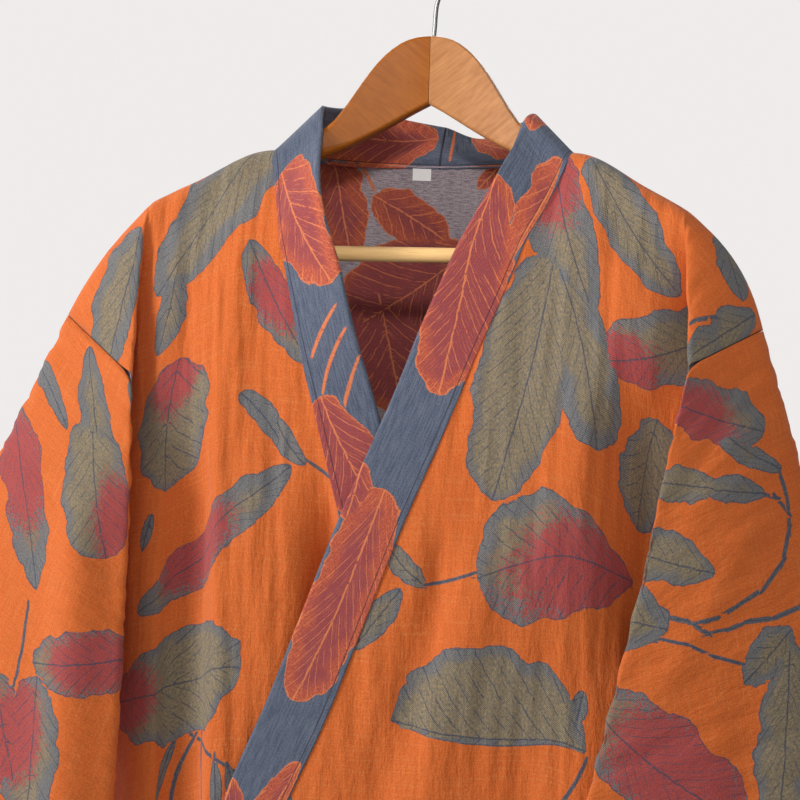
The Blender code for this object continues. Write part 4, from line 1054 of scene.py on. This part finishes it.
# %% Leaf tables
LEAVES = {
    "front_right": [
        (-0.1078, -0.039, -0.2101, 0.0946, 0.0401, 0.0347, 0.008, 0.92, 0.42),
        (-0.1907, 0.074, -0.2072, 0.1438, 0.0155, 0.0119, 0.0024, 1, 0.5),
        (-0.1876, 0.0362, -0.2115, 0.0715, 0.0055, 0.0055, 0.0016, 1, 0.7),
        (-0.1879, -0.0095, -0.188, 0.054, 0.0024, 0.0024, 0.0024, 1, 0.1),
        (-0.1242, 0.0834, -0.0688, 0.1811, 0.0155, 0.0182, -0.0032, 0.95, 0.55, 0.45, 0.004, 0.0208),
        (-0.1855, 0.1529, -0.1981, 0.2534, 0.0383, 0.0328, -0.0032, 1.15, 0.42, 0.02, 0, 0.0272),
        (-0.1263, 0.2046, -0.088, 0.2466, 0.0109, 0.0091, 0.0032, 0.75, 0.6),
        (-0.0955, 0.2235, -0.0697, 0.2596, 0.0082, 0.01, -0.0024, 0.8, 0.6),
        (-0.0802, 0.2501, -0.0355, 0.2802, 0.0013, 0.0013, 0.0024, 1, 0.1),
        (-0.2286, 0.3453, -0.0809, 0.2603, 0.0201, 0.0237, -0.008, 1, 0.55, 0.42, 0.0016, 0.0256),
        (-0.2683, 0.4078, -0.1164, 0.421, 0.042, 0.0456, 0, 1.45, 0.38, 0.1, 0, 0.032),
        (-0.1767, 0.4532, -0.1035, 0.5109, 0.0013, 0.0013, -0.0032, 1, 0.1),
        (-0.1615, 0.4529, -0.1806, 0.5221, 0.0013, 0.0013, -0.0064, 1, 0.1),
        (-0.1597, 0.4546, -0.1487, 0.5337, 0.0013, 0.0013, -0.004, 1, 0.1),
        (-0.1346, 0.4831, -0.1312, 0.5349, 0.0055, 0.0055, 0, 1.4, 0.7),
        (-0.1246, 0.4928, -0.1126, 0.5291, 0.0046, 0.0064, 0, 1.3, 0.7),
        (-0.2003, 0.5074, -0.1791, 0.4603, 0.0055, 0.0046, 0, 1, 0.7),
        (-0.2442, 0.0233, -0.3393, 0.0845, 0.0164, 0.0328, 0.0032, 1.25, 0.42),
        (-0.3242, 0.1029, -0.3237, 0.1668, 0.0082, 0.0073, 0, 1, 0.5),
        (-0.2138, 0.2675, -0.223, 0.2978, 0.0055, 0.0055, 0, 1, 0.6),
    ],
    "front_left": [
        (0.103, -0.0089, 0.1466, 0.1279, 0.0237, 0.0292, -0.0064, 1.45, 0.45, 0.24, -0.0048, 0.0272),
        (0.1351, 0.0081, 0.225, 0.0809, 0.0292, 0.0255, -0.0048, 0.85, 0.5),
        (0.1133, 0.092, 0.0744, 0.2801, 0.0365, 0.0401, 0.0032, 0.8, 0.4),
        (0.1107, 0.0873, 0.1559, 0.2293, 0.0292, 0.031, 0.0064, 1.4, 0.42),
        (0.2946, 0.0914, 0.159, 0.1603, 0.0255, 0.0328, -0.0032, 1.1, 0.45, 0.95, 0.0048, 0.0288),
        (0.2119, 0.1807, 0.1955, 0.2698, 0.0274, 0.0237, -0.0032, 1, 0.42),
        (0.192, 0.3107, 0.0669, 0.3396, 0.0456, 0.0511, -0.0048, 1.55, 0.45, 0.28, 0.0128, 0.0464),
        (0.1573, 0.4571, 0.0058, 0.451, 0.0055, 0.0711, 0.008, 1.15, 0.5),
        (0.0291, 0.3487, -0.0021, 0.316, 0.01, 0.0091, 0.0024, 1.2, 0.6),
        (0.0169, 0.3477, 0.0801, 0.3285, 0.0013, 0.0013, -0.0032, 1, 0.1),
        (-0.0259, 0.3989, 0.01, 0.3493, 0.0109, 0.0109, 0, 1, 0.6),
        (0.1532, 0.4128, 0.1477, 0.4411, 0.0064, 0.0064, 0, 1, 0.6),
        (0.1589, 0.4595, 0.1271, 0.5201, 0.0014, 0.0014, 0.0032, 1, 0.1),
        (0.107, 0.323, 0.0607, 0.3404, 0.0011, 0.0011, 0, 1, 0.1),
        (0.2504, -0.0125, 0.3108, 0.0207, 0.0182, 0.0146, -0.0064, 1.3, 0.5),
        (0.3244, 0.0101, 0.3154, 0.1232, 0.0182, 0.0146, 0, 0.9, 0.5),
        (0.3246, 0.0163, 0.2961, 0.0846, 0.0019, 0.0019, 0, 1, 0.1),
    ],
    "back": [
        (-0.0736, -0.0101, -0.0411, 0.0489, 0.0013, 0.0013, 0.0016, 1, 0.1),
        (-0.0532, 0.0291, 0.0106, 0.065, 0.0182, 0.0219, 0.0024, 0.9, 0.5),
        (0.0271, 0.0705, -0.0678, 0.1438, 0.0365, 0.0456, 0, 1, 0.4),
        (-0.0907, -0.0127, -0.0675, 0.0871, 0.0201, 0.0201, 0, 1, 0.5),
        (-0.0517, 0.0846, -0.0221, 0.2129, 0.0383, 0.0383, 0, 1, 0.5),
        (0.047, 0.0031, 0.0316, 0.0208, 0.0073, 0.0073, 0, 1, 0.6),
    ],
    "sleeve_right": [
        (-0.3827, -0.0108, -0.4064, 0.0681, 0.01, 0.0091, 0.0032, 0.8, 0.6),
        (-0.3377, 0.0494, -0.4117, 0.1207, 0.0164, 0.0164, 0, 1.1, 0.5),
        (-0.3829, 0.087, -0.4727, 0.1554, 0.0365, 0.0365, 0, 1.1, 0.36, 0.84, 0.0208, 0.0288),
        (-0.4258, -0.004, -0.5315, 0.1054, 0.0237, 0.0237, 0.0064, 0.85, 0.6, 0.36, 0, 0.032),
        (-0.5414, 0.101, -0.615, 0.1211, 0.0014, 0.0014, 0.0024, 1, 0.1),
        (-0.5228, 0.2162, -0.5835, 0.128, 0.0255, 0.0255, 0.0048, 1, 0.42, 0.45, 0, 0.0272),
        (-0.5903, 0.1378, -0.6956, 0.1783, 0.0274, 0.0328, 0, 1.1, 0.45, 0.4, -0.016, 0.0272),
        (-0.6105, 0.0986, -0.6811, 0.1577, 0.0237, 0.0219, 0, 1, 0.5, 0.6, 0, 0.0288),
        (-0.3255, 0.1116, -0.3457, 0.1453, 0.0073, 0.0082, 0, 1, 0.5),
    ],
    "sleeve_left": [
        (0.4137, 0.0337, 0.3332, 0.1515, 0.0201, 0.0292, 0.0032, 1, 0.42, 0.62, 0.0096, 0.0352),
        (0.448, 0.0244, 0.3677, 0.1016, 0.0109, 0.0073, 0.0048, 0.75, 0.7),
        (0.5027, 0.1067, 0.4481, 0.2059, 0.0182, 0.0237, 0.0016, 1.3, 0.5),
        (0.532, 0.156, 0.4865, 0.2481, 0.0237, 0.0292, 0, 1.1, 0.4),
        (0.5617, 0.0482, 0.5904, 0.0968, 0.0182, 0.0182, 0, 1, 0.5),
        (0.5698, 0.052, 0.7095, 0.0915, 0.0219, 0.0237, 0, 1, 0.5),
        (0.5506, 0.2416, 0.6944, 0.1084, 0.0401, 0.031, -0.008, 1.1, 0.6, 0.62, 0.0064, 0.0448),
        (0.4212, 0.0485, 0.4555, 0.0236, 0.0019, 0.0019, 0, 1, 0.1),
        (0.4437, 0.0277, 0.4772, 0.0263, 0.0019, 0.0019, 0, 1, 0.1),
        (0.4644, 0.0252, 0.4984, 0.0328, 0.0019, 0.0019, 0, 1, 0.1),
        (0.4866, 0.0279, 0.5179, 0.0479, 0.0019, 0.0019, 0, 1, 0.1),
        (0.5089, 0.0389, 0.5294, 0.0708, 0.0019, 0.0019, 0, 1, 0.1),
        (0.5245, 0.0589, 0.5325, 0.0955, 0.0019, 0.0019, 0, 1, 0.1),
        (0.5297, 0.0827, 0.5371, 0.1168, 0.0019, 0.0019, 0, 1, 0.1),
        (0.5362, 0.1039, 0.5336, 0.1388, 0.0019, 0.0019, 0, 1, 0.1),
        (0.5174, 0.1644, 0.5339, 0.1316, 0.0019, 0.0019, 0, 1, 0.1),
        (0.5268, 0.1423, 0.5493, 0.1161, 0.0019, 0.0019, 0, 1, 0.1),
        (0.5444, 0.1275, 0.5478, 0.0967, 0.0019, 0.0019, 0, 1, 0.1),
        (0.5476, 0.1097, 0.5453, 0.08, 0.0019, 0.0019, 0, 1, 0.1),
        (0.5447, 0.0929, 0.5512, 0.0554, 0.0019, 0.0019, 0, 1, 0.1),
        (0.5504, 0.0683, 0.5484, 0.029, 0.0019, 0.0019, 0, 1, 0.1),
        (0.5358, 0.1662, 0.5511, 0.1337, 0.0013, 0.0013, 0, 1, 0.1),
        (0.5445, 0.1449, 0.5662, 0.1147, 0.0013, 0.0013, 0, 1, 0.1),
        (0.5593, 0.1257, 0.5785, 0.0901, 0.0013, 0.0013, 0, 1, 0.1),
        (0.4554, 0.0554, 0.4691, 0.0311, 0.0016, 0.0016, 0, 1, 0.1),
        (0.4602, 0.04, 0.4848, 0.0261, 0.0016, 0.0016, 0, 1, 0.1),
        (0.4598, 0.0457, 0.4366, 0.1054, 0.01, 0.0119, 0, 1.2, 0.5),
        (0.4422, 0.0889, 0.4045, 0.1735, 0.0137, 0.0146, 0, 1.1, 0.5),
    ],
    "collar_right": [
        (0.006, 0.030, 0.106, 0.020, 0.030, 0.026, 0.004, 1.0, 0.45),
        (0.150, 0.004, 0.242, 0.036, 0.026, 0.026, 0.002, 0.9, 0.45),
        (0.258, 0.036, 0.296, 0.004, 0.0014, 0.0014, 0.002, 1.0, 0.2),
        (0.276, 0.040, 0.324, 0.006, 0.0014, 0.0014, 0.003, 1.0, 0.2),
        (0.300, 0.044, 0.352, 0.012, 0.0014, 0.0014, 0.002, 1.0, 0.2),
        (0.324, 0.004, 0.440, 0.036, 0.028, 0.024, 0.004, 1.0, 0.45),
        (0.470, 0.036, 0.600, 0.010, 0.022, 0.024, 0.0, 1.0, 0.5),
        (0.640, 0.010, 0.800, 0.036, 0.024, 0.018, 0.0, 1.0, 0.5),
    ],
    "collar_left": [
        (0.008, 0.004, 0.010, 0.048, 0.0014, 0.0014, 0.0, 1.0, 0.2),
        (0.030, 0.044, 0.074, 0.006, 0.014, 0.012, 0.0, 1.0, 0.5),
        (0.094, 0.052, 0.140, 0.036, 0.012, 0.014, 0.0, 1.0, 0.5),
        (0.134, 0.002, 0.216, 0.002, 0.003, 0.018, 0.002, 1.0, 0.5),
        (0.180, 0.044, 0.322, 0.012, 0.034, 0.026, 0.003, 0.85, 0.36),
        (0.388, 0.044, 0.430, 0.038, 0.012, 0.014, 0.0, 1.0, 0.5),
        (0.400, 0.020, 0.568, 0.026, 0.026, 0.026, 0.004, 0.9, 0.38),
        (0.606, 0.000, 0.706, 0.010, 0.006, 0.018, 0.0, 1.0, 0.5),
        (0.640, 0.044, 0.780, 0.026, 0.024, 0.022, 0.0, 1.0, 0.5),
    ],
}


def scatter(seed, s_from, s_to, t_from, t_to, apart=0.13):
    """Leaves for the parts not seen in the front view: one in each cell of a grid, in a random
    direction and size."""
    draw = np.random.default_rng(seed)
    rows = []
    for s in np.arange(s_from + 0.5 * apart, s_to, apart):
        for t in np.arange(t_from + 0.5 * apart, t_to, apart):
            angle, long = draw.uniform(0, 2 * math.pi), apart * draw.uniform(0.85, 1.30)
            s0 = s + draw.uniform(-0.15, 0.15) * apart - 0.5 * long * math.cos(angle)
            t0 = t + draw.uniform(-0.15, 0.15) * apart - 0.5 * long * math.sin(angle)
            wide = long * draw.uniform(0.20, 0.34)
            red = (draw.uniform(0.2, 0.8), 0.2 * wide, 0.8 * wide) if draw.random() < 0.45 else (0, 0, 0)
            rows.append((s0, t0, s0 + long * math.cos(angle), t0 + long * math.sin(angle), wide,
                         wide * draw.uniform(0.6, 1.1), 0.06 * long * draw.uniform(-1, 1),
                         draw.uniform(0.8, 1.5), draw.uniform(0.40, 0.60), *red))
            # its stem, which leaves the leaf at a slant
            lean = angle + draw.uniform(-0.7, 0.7)
            rows.append((s0 + 0.006 * math.cos(angle), t0 + 0.006 * math.sin(angle),
                         s0 - 0.045 * math.cos(lean), t0 - 0.045 * math.sin(lean), 0.0017, 0.0017,
                         draw.uniform(-0.006, 0.006), 1.0, 0.1))
    return rows


LEAVES["front_right"] += scatter(11, -0.26, 0.04, 0.54, 1.18)
LEAVES["front_left"] += scatter(12, -0.14, 0.24, 0.53, 1.18, 0.126)
LEAVES["back"] += scatter(13, -0.24, 0.24, 0.24, 1.16) + scatter(14, 0.12, 0.34, 0.0, 0.24) \
    + scatter(15, -0.34, -0.12, 0.0, 0.24)
for side, name in ((-1, "sleeve_right"), (1, "sleeve_left")):
    low, high = sorted((side * 0.33, side * 0.74))
    LEAVES[name] += scatter(16 + side, low, high, -0.24, 0.0)


print(sum(len(rows) for rows in LEAVES.values()), "leaves")

# %% [markdown]
# ## The body
# The two fronts and the back are laid out with the same rows, so that their side seams meet. The
# wearer's left front laps over the right one.

# %% Fronts and back


def before_ridge(s, t, layer, over):
    """A row of points just over the shoulder line, or past the free edge inside the neck."""
    over_top = sheet(s[0], -t[1], layer, over)
    past = 2 * sheet(s[0], t[0], layer, over) - sheet(s[0], t[1], layer, over)
    return np.where((np.abs(s[0]) < 0.13)[:, None], past, over_top)[None]


def facing(n, way):
    """The normals n, turned round if most of them point against way."""
    return n if float((n * way).sum()) > 0 else -n


def front_piece(side):
    """Grid, normals and cut coordinates of a front, from the collar seam to the side seam."""
    over = 1.0 if side > 0 else 0.0
    gaps = slit(side, DOWNS, -1.0, over)
    s, t = [], []
    for row, down in enumerate(DOWNS):
        inner = float(collar_s(side, down)) + 0.5 * SEAM
        s.append(np.concatenate([np.linspace(inner, 0.185, 72)[:-1], outer_columns(down, gaps[row]),
                                 [float(armhole_s(down)) + 0.010]]))
        t.append(row_t(s[-1], row))
    s, t = side * np.array(s), np.array(t)
    grid = sheet(s, t, -1.0, over)
    n = normals(np.concatenate([before_ridge(s, t, -1.0, over), grid]))[1:, :-1]
    return grid[:, :-1], facing(n, (0, -1, 0)), s[:, :-1], t[:, :-1]


def back_piece():
    """The same for the back, from one side seam to the other."""
    gaps = [slit(side, DOWNS, 1.0) for side in (-1, 1)]
    near = np.concatenate([np.linspace(0.0, 0.100, 20), np.linspace(0.102, 0.130, 14),
                           np.linspace(0.134, 0.182, 11)])
    s, t = [], []
    for row, down in enumerate(DOWNS):
        right, left = (np.concatenate([near, outer_columns(down, g[row]), [float(armhole_s(down)) + 0.010]])
                       for g in gaps)
        s.append(np.concatenate([-right[:0:-1], left]))
        t.append(row_t(s[-1], row))
    s, t = np.array(s), np.array(t)
    grid = sheet(s, t, 1.0)
    n = normals(np.concatenate([before_ridge(s, t, 1.0, 0.0), grid]))[1:, 1:-1]
    return grid[:, 1:-1], facing(n, (0, 1, 0)), s[:, 1:-1], t[:, 1:-1]


# Creases finer than those of the solids: where each runs on the cut, how wide it is, and how high
CREASES = {
    "front_right": (
        (0.052, -0.44, 0.056, -0.70, 0.013, -0.0220),
        (0.100, -0.42, 0.098, -0.64, 0.014, 0.0050),
        (0.112, -0.40, 0.108, -0.80, 0.006, 0.0018),
        (0.180, -0.40, 0.180, -0.85, 0.025, -0.0190),
        (0.160, -0.19, 0.150, -0.40, 0.009, -0.0025),
    ),
    "front_left": (
        (0.200, -0.34, 0.200, -0.58, 0.018, -0.0150),
        (0.150, -0.19, 0.146, -0.50, 0.014, 0.0030),
        (0.030, -0.46, 0.004, -0.62, 0.006, 0.0022),
        (0.050, -0.47, 0.020, -0.64, 0.006, -0.0022),
        (0.110, -0.19, 0.100, -0.36, 0.010, -0.0025),
    ),
    "sleeve_left": (
        (0.360, -0.050, 0.480, -0.180, 0.010, -0.0022),
        (0.470, -0.060, 0.600, -0.190, 0.011, 0.0026),
        (0.580, -0.090, 0.720, -0.120, 0.012, -0.0030),
    ),
    "sleeve_right": (
        (0.416, -0.108, 0.760, -0.229, 0.020, 0.0140),
        (0.400, -0.080, 0.500, -0.180, 0.010, -0.0022),
        (0.560, -0.070, 0.700, -0.060, 0.012, -0.0030),
    ),
}


def puckered(name, grid, n, s, t, seed, rims):
    """The grid moved along its normals by its creases and by the cloth's small waves, which fade
    at the rims."""
    wave = crinkle(s, np.abs(t), seed, 0.00056)
    if name in CREASES:
        # on a sleeve a crease is placed by the cut alone, on its front layer
        down = -t if name.startswith("sleeve") else grid[..., 2]
        wave = wave + fold_field(CREASES[name], np.abs(s), down)
    return grid + (wave * rims)[..., None] * n


def rim_fade(shape, cells=3, wrap=False):
    """1 inside a grid, falling to 0 over its last few cells."""
    i = np.minimum(np.arange(shape[0]), np.arange(shape[0])[::-1]) / cells
    j = np.minimum(np.arange(shape[1]), np.arange(shape[1])[::-1]) / cells
    return soft(i)[:, None] * (1.0 if wrap else soft(j)[None, :])


pieces = {}
for name, side, seed in (("front_right", -1, 3), ("front_left", 1, 4), ("back", 0, 5)):
    grid, n, s, t = front_piece(side) if side else back_piece()
    grid = puckered(name, grid, n, s, t, seed, rim_fade(s.shape, 6))
    obj = cloth(name + "_cloth", grid, n, CLOTH, s, t, LEAVES[name], (face_cloth, inside_cloth_painted_light))
    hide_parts(name)
    pieces[name] = (obj, area_of(grid), cut_area(s, t), s, t)

# %% [markdown]
# ## The sleeves
# A sleeve is one tube of rings from the armhole to the cuff, flattened as it hangs.

# %% Sleeves
RING_ROWS = np.concatenate([np.linspace(0.0, 0.016, 7), np.linspace(0.020, 0.098, 19),
                            np.linspace(0.101, 0.128, 12), np.linspace(0.133, ARMHOLE, 30)])


def sleeve_piece(side):
    """Rings of a sleeve with their normals and cut coordinates."""
    a = np.concatenate([[-0.010, 0.0], np.linspace(0.006, SLEEVE_LENGTH, 86)])[:, None]
    fold, around = fold_place(a)
    q = RING_ROWS[None, :]
    b = np.where(q <= FOLD_ON_RING, q * fold / FOLD_ON_RING,
                 fold + (q - FOLD_ON_RING) * (around - fold) / (ARMHOLE - FOLD_ON_RING))
    b = np.concatenate([b, b[:, -2:0:-1]], 1)
    layer = np.concatenate([-np.ones(q.size), np.ones(q.size - 2)])[None, :] + 0 * b
    a = a + 0 * b
    a[1] = np.where(layer[1] < 0, slit(side, b[1], -1.0), slit(side, b[1], 1.0))
    a[2] = np.maximum(a[2], a[1] + 0.002)
    s = side * (armhole_s(b) + a)
    p = sheet(s, b, layer, home="sleeve")
    n = normals(np.concatenate([p[:, -1:], p, p[:, :1]], 1))
    n = facing(n[1:, 1:-1], p[1:] - p[1:].mean(1, keepdims=True))
    return p[1:], n, s[1:], (b * -layer)[1:]


for name, side, seed in (("sleeve_right", -1, 6), ("sleeve_left", 1, 7)):
    grid, n, s, t = sleeve_piece(side)
    grid = puckered(name, grid, n, s, t, seed, rim_fade(s.shape, wrap=True))
    obj = cloth(name + "_cloth", grid, n, CLOTH, s, t, LEAVES[name], (face_cloth, inside_cloth_painted_light), wrap=True)
    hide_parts(name)
    # a tube that narrows evenly from the armhole to the cuff
    pieces[name] = (obj, area_of(grid, wrap=True), (ARMHOLE + HALF_CUFF) * SLEEVE_LENGTH, s, t)

# %% [markdown]
# ## The collar
# The collar band is made with the cloth's reverse outwards, so it is slate blue with red leaves.
# It stands round the neck and then lies along the fronts' edges down to the waist.

# %% Collar


def collar_seam_point(side, v):
    """Point of the collar seam at v along it from the centre back."""
    behind = v <= HALF_NECK
    back = sheet(side * np.minimum(v, HALF_NECK), 0.0, 1.0)
    t = np.maximum(v - HALF_NECK, 0.0)
    front = sheet(side * collar_s(side, t), t, -1.0, over=1.0 if side > 0 else 0.0)
    return np.where(behind[:, None], back, front)


def collar_piece(side):
    """Grid of one half of the collar: v along the seam, and across to the free edge."""
    end = HALF_NECK + SHOULDER_Z - COLLAR_END_Z
    v = np.concatenate([[0.0], np.arange(0.0024, 0.24, 0.0024), np.linspace(0.242, end, 200)])
    seam = collar_seam_point(side, v)
    table = BAND[side]
    step = np.stack([side * curve(v, table["v"], table["x"]), curve(v, table["v"], table["y"]),
                     curve(v, table["v"], table["z"])], -1)
    # lower down the band lies in the front's own surface, square to the seam
    t = np.maximum(v - HALF_NECK, 0.0)
    s0 = collar_s(side, t)
    slope = np.gradient(s0, v)
    size = np.hypot(slope, 1.0)
    edge_limit = s0 + (FRONT_EDGE_OVER if side > 0 else FRONT_EDGE_UNDER)
    width = np.minimum(COLLAR_WIDTH, np.maximum(edge_limit, 0.004) * size)
    s1, t1 = s0 - width / size, t + width * slope / size
    flat = sheet(side * s1, np.maximum(t1, 0.02), -1.0, over=1.0 if side > 0 else 0.0) - seam
    flat[:, 1] += -0.018 * soft((0.36 - v) / 0.12) * (1.0 if side < 0 else 0.3)
    k = soft((v - 0.185) / (BAND_TABLE_END - 0.185))[:, None]
    step = step * (1 - k) + flat * k
    # the band's lower edge laps over the body's cloth, on its outer side, to hide the seam
    turn = math.pi * soft((v - 0.085) / (0.150 - 0.085))
    outwards = np.stack([side * 0.6 * np.sin(turn), np.cos(turn), 0.8 * np.sin(turn)], -1)
    across = np.concatenate([[-0.075, -0.05], np.linspace(0.0, 1.0, 18)])
    grid = seam[:, None] + step[:, None] * across[None, :, None]
    lift = np.maximum(0.0, 1 - across / 0.12)[None, :, None]
    grid = grid + (0.0013 * outwards)[:, None] * np.minimum(lift, 1.0)
    return grid, normals(grid), v[:, None] + 0 * across, COLLAR_WIDTH * across[None, :] + 0 * v[:, None]


for name, side in (("collar_right", -1), ("collar_left", 1)):
    grid, n, v, across = collar_piece(side)
    # the band is folded double, and thin where it laps over the seam
    thick = 0.0009 + (COLLAR_THICK - 0.0009) * soft(across / 0.006)[..., None]
    obj = cloth(name + "_cloth", grid, n, thick, v, across, LEAVES[name], (reverse_cloth,))
    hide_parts(name)
    pieces[name] = (obj, area_of(grid), COLLAR_WIDTH * float(v.max() - v.min()), v, across)

# %% [markdown]
# ## The cloth's sizes
# For each piece the size it is cut to, the area of its cut, the area of its hung shape and
# their share are printed. The left sleeve holds too little of the cloth of its cut. The left
# sleeve can't be declared truthfully, and is left untested.

# %% Sizes of the cut
for name, (obj, hung, cut, s, t) in pieces.items():
    if name.startswith("collar"):
        flat = (COLLAR_WIDTH, float(s.max() - s.min()))
    elif name.startswith("sleeve"):
        flat = (2 * ARMHOLE, SLEEVE_LENGTH)
    else:
        flat = (float(s.max() - s.min()), float(t.max() - t.min()))
    print(name, "flat", [round(x, 3) for x in flat], "cut area", round(cut, 4), "hung area",
          round(hung, 4), "share", round(hung / cut, 3))
    # The left sleeve as built has only 0.65 of the cloth of its cut, and a sheet needs 0.7. This
    # is an open fault of the sleeve's shape.
    name != "sleeve_left"

# %% [markdown]
# ## The hanger
# The arms are varnished wood with a fine straight grain along each arm; the right arm is
# darker and less glossy as painted shade, and the left lighter and glossier as painted light.
# The bar is paler wood, made brighter still as painted light, and the hook is bright steel
# wire. Their solids already have the right shape, so they only get materials. The tag is a bare
# white woven one.

# %% Hanger materials


def wood(name, dark, light, slope, stretch, gloss):
    """Grain that runs along a stick at this slope: noise on turned and stretched coordinates."""
    m, shader, start = new_material(name)
    place = start.node("ShaderNodeTexCoord", {}, {}, output=3)
    turned = place.node("ShaderNodeVectorRotate", {"rotation_type": "Y_AXIS"},
                        {"Vector": place, "Angle": slope})
    grain = turned.scaled(stretch, 1.0, 1.0).noise(60.0, 4.0, 0.6)
    fine = turned.scaled(stretch * 0.5, 1.0, 1.0).noise(420.0, 2.0, 0.5)
    pores = turned.scaled(stretch, 1.0, 1.0).noise(900.0, 1.0, 0.5)
    tone = (grain * 0.4 + fine * 0.6).step(0.28, 0.76)
    colour = tone.blend(dark, light)
    colour = (pores.step(0.34, 0.26) * 0.35).blend(colour, tuple(0.6 * x for x in dark))
    bump = start.node("ShaderNodeBump", {}, {"Strength": 0.10, "Distance": 0.0003, "Height": fine + pores})
    feed(shader, Base_Color=colour, Roughness=0.30 + fine * 0.12, Normal=bump,
         Coat_Weight=gloss, Coat_Roughness=0.16, Specular_IOR_Level=2 * gloss)
    return m


# the right arm gets darker, less glossy wood as painted shade, and the left arm lighter, glossier wood as
# painted light
arm_woods_lit_and_shaded = {
    "hanger_arm_right": wood("arm_wood_right_painted_shade", (0.29, 0.078, 0.006), (0.39, 0.118, 0.012),
                             -0.62, 0.07, 0.08),
    "hanger_arm_left": wood("arm_wood_left_painted_light", (0.38, 0.145, 0.040), (0.54, 0.235, 0.082),
                            0.62, 0.07, 0.25)}
# the bar: pale wood, made brighter still as painted light
bar_wood = wood("bar_wood", (0.88, 0.52, 0.19), (0.98, 0.68, 0.31), 0.0, 0.05, 0.25)
steel, steel_shader, steel_start = new_material("steel_wire")
steel_place = steel_start.node("ShaderNodeTexCoord", {}, {}, output=3)
scratches = steel_place.scaled(1.0, 1.0, 0.2).noise(900.0, 2.0)
feed(steel_shader, Base_Color=scratches.blend((0.12, 0.12, 0.12), (0.20, 0.20, 0.20)), Metallic=1.0,
     Roughness=0.22 + scratches * 0.15)
label, label_shader, label_start = new_material("woven_tag")
label_place = label_start.node("ShaderNodeTexCoord", {}, {}, output=3)
threads = label_place.scaled(1.0, 1.0, 3.0).noise(1500.0, 1.0)
feed(label_shader, Base_Color=threads.blend((0.90, 0.89, 0.88), (0.97, 0.965, 0.96)), Roughness=0.8,
     Normal=label_start.node("ShaderNodeBump", {}, {"Strength": 0.3, "Distance": 0.0003, "Height": threads}))
for node, mat in (*arm_woods_lit_and_shaded.items(), ("hanger_bar", bar_wood), ("hanger_hook", steel), ("size_tag", label)):
    for obj in bpy.data.objects:
        if obj.name == node:
            for slot in obj.material_slots:
                slot.material = mat
            print(node, "gets", mat.name)
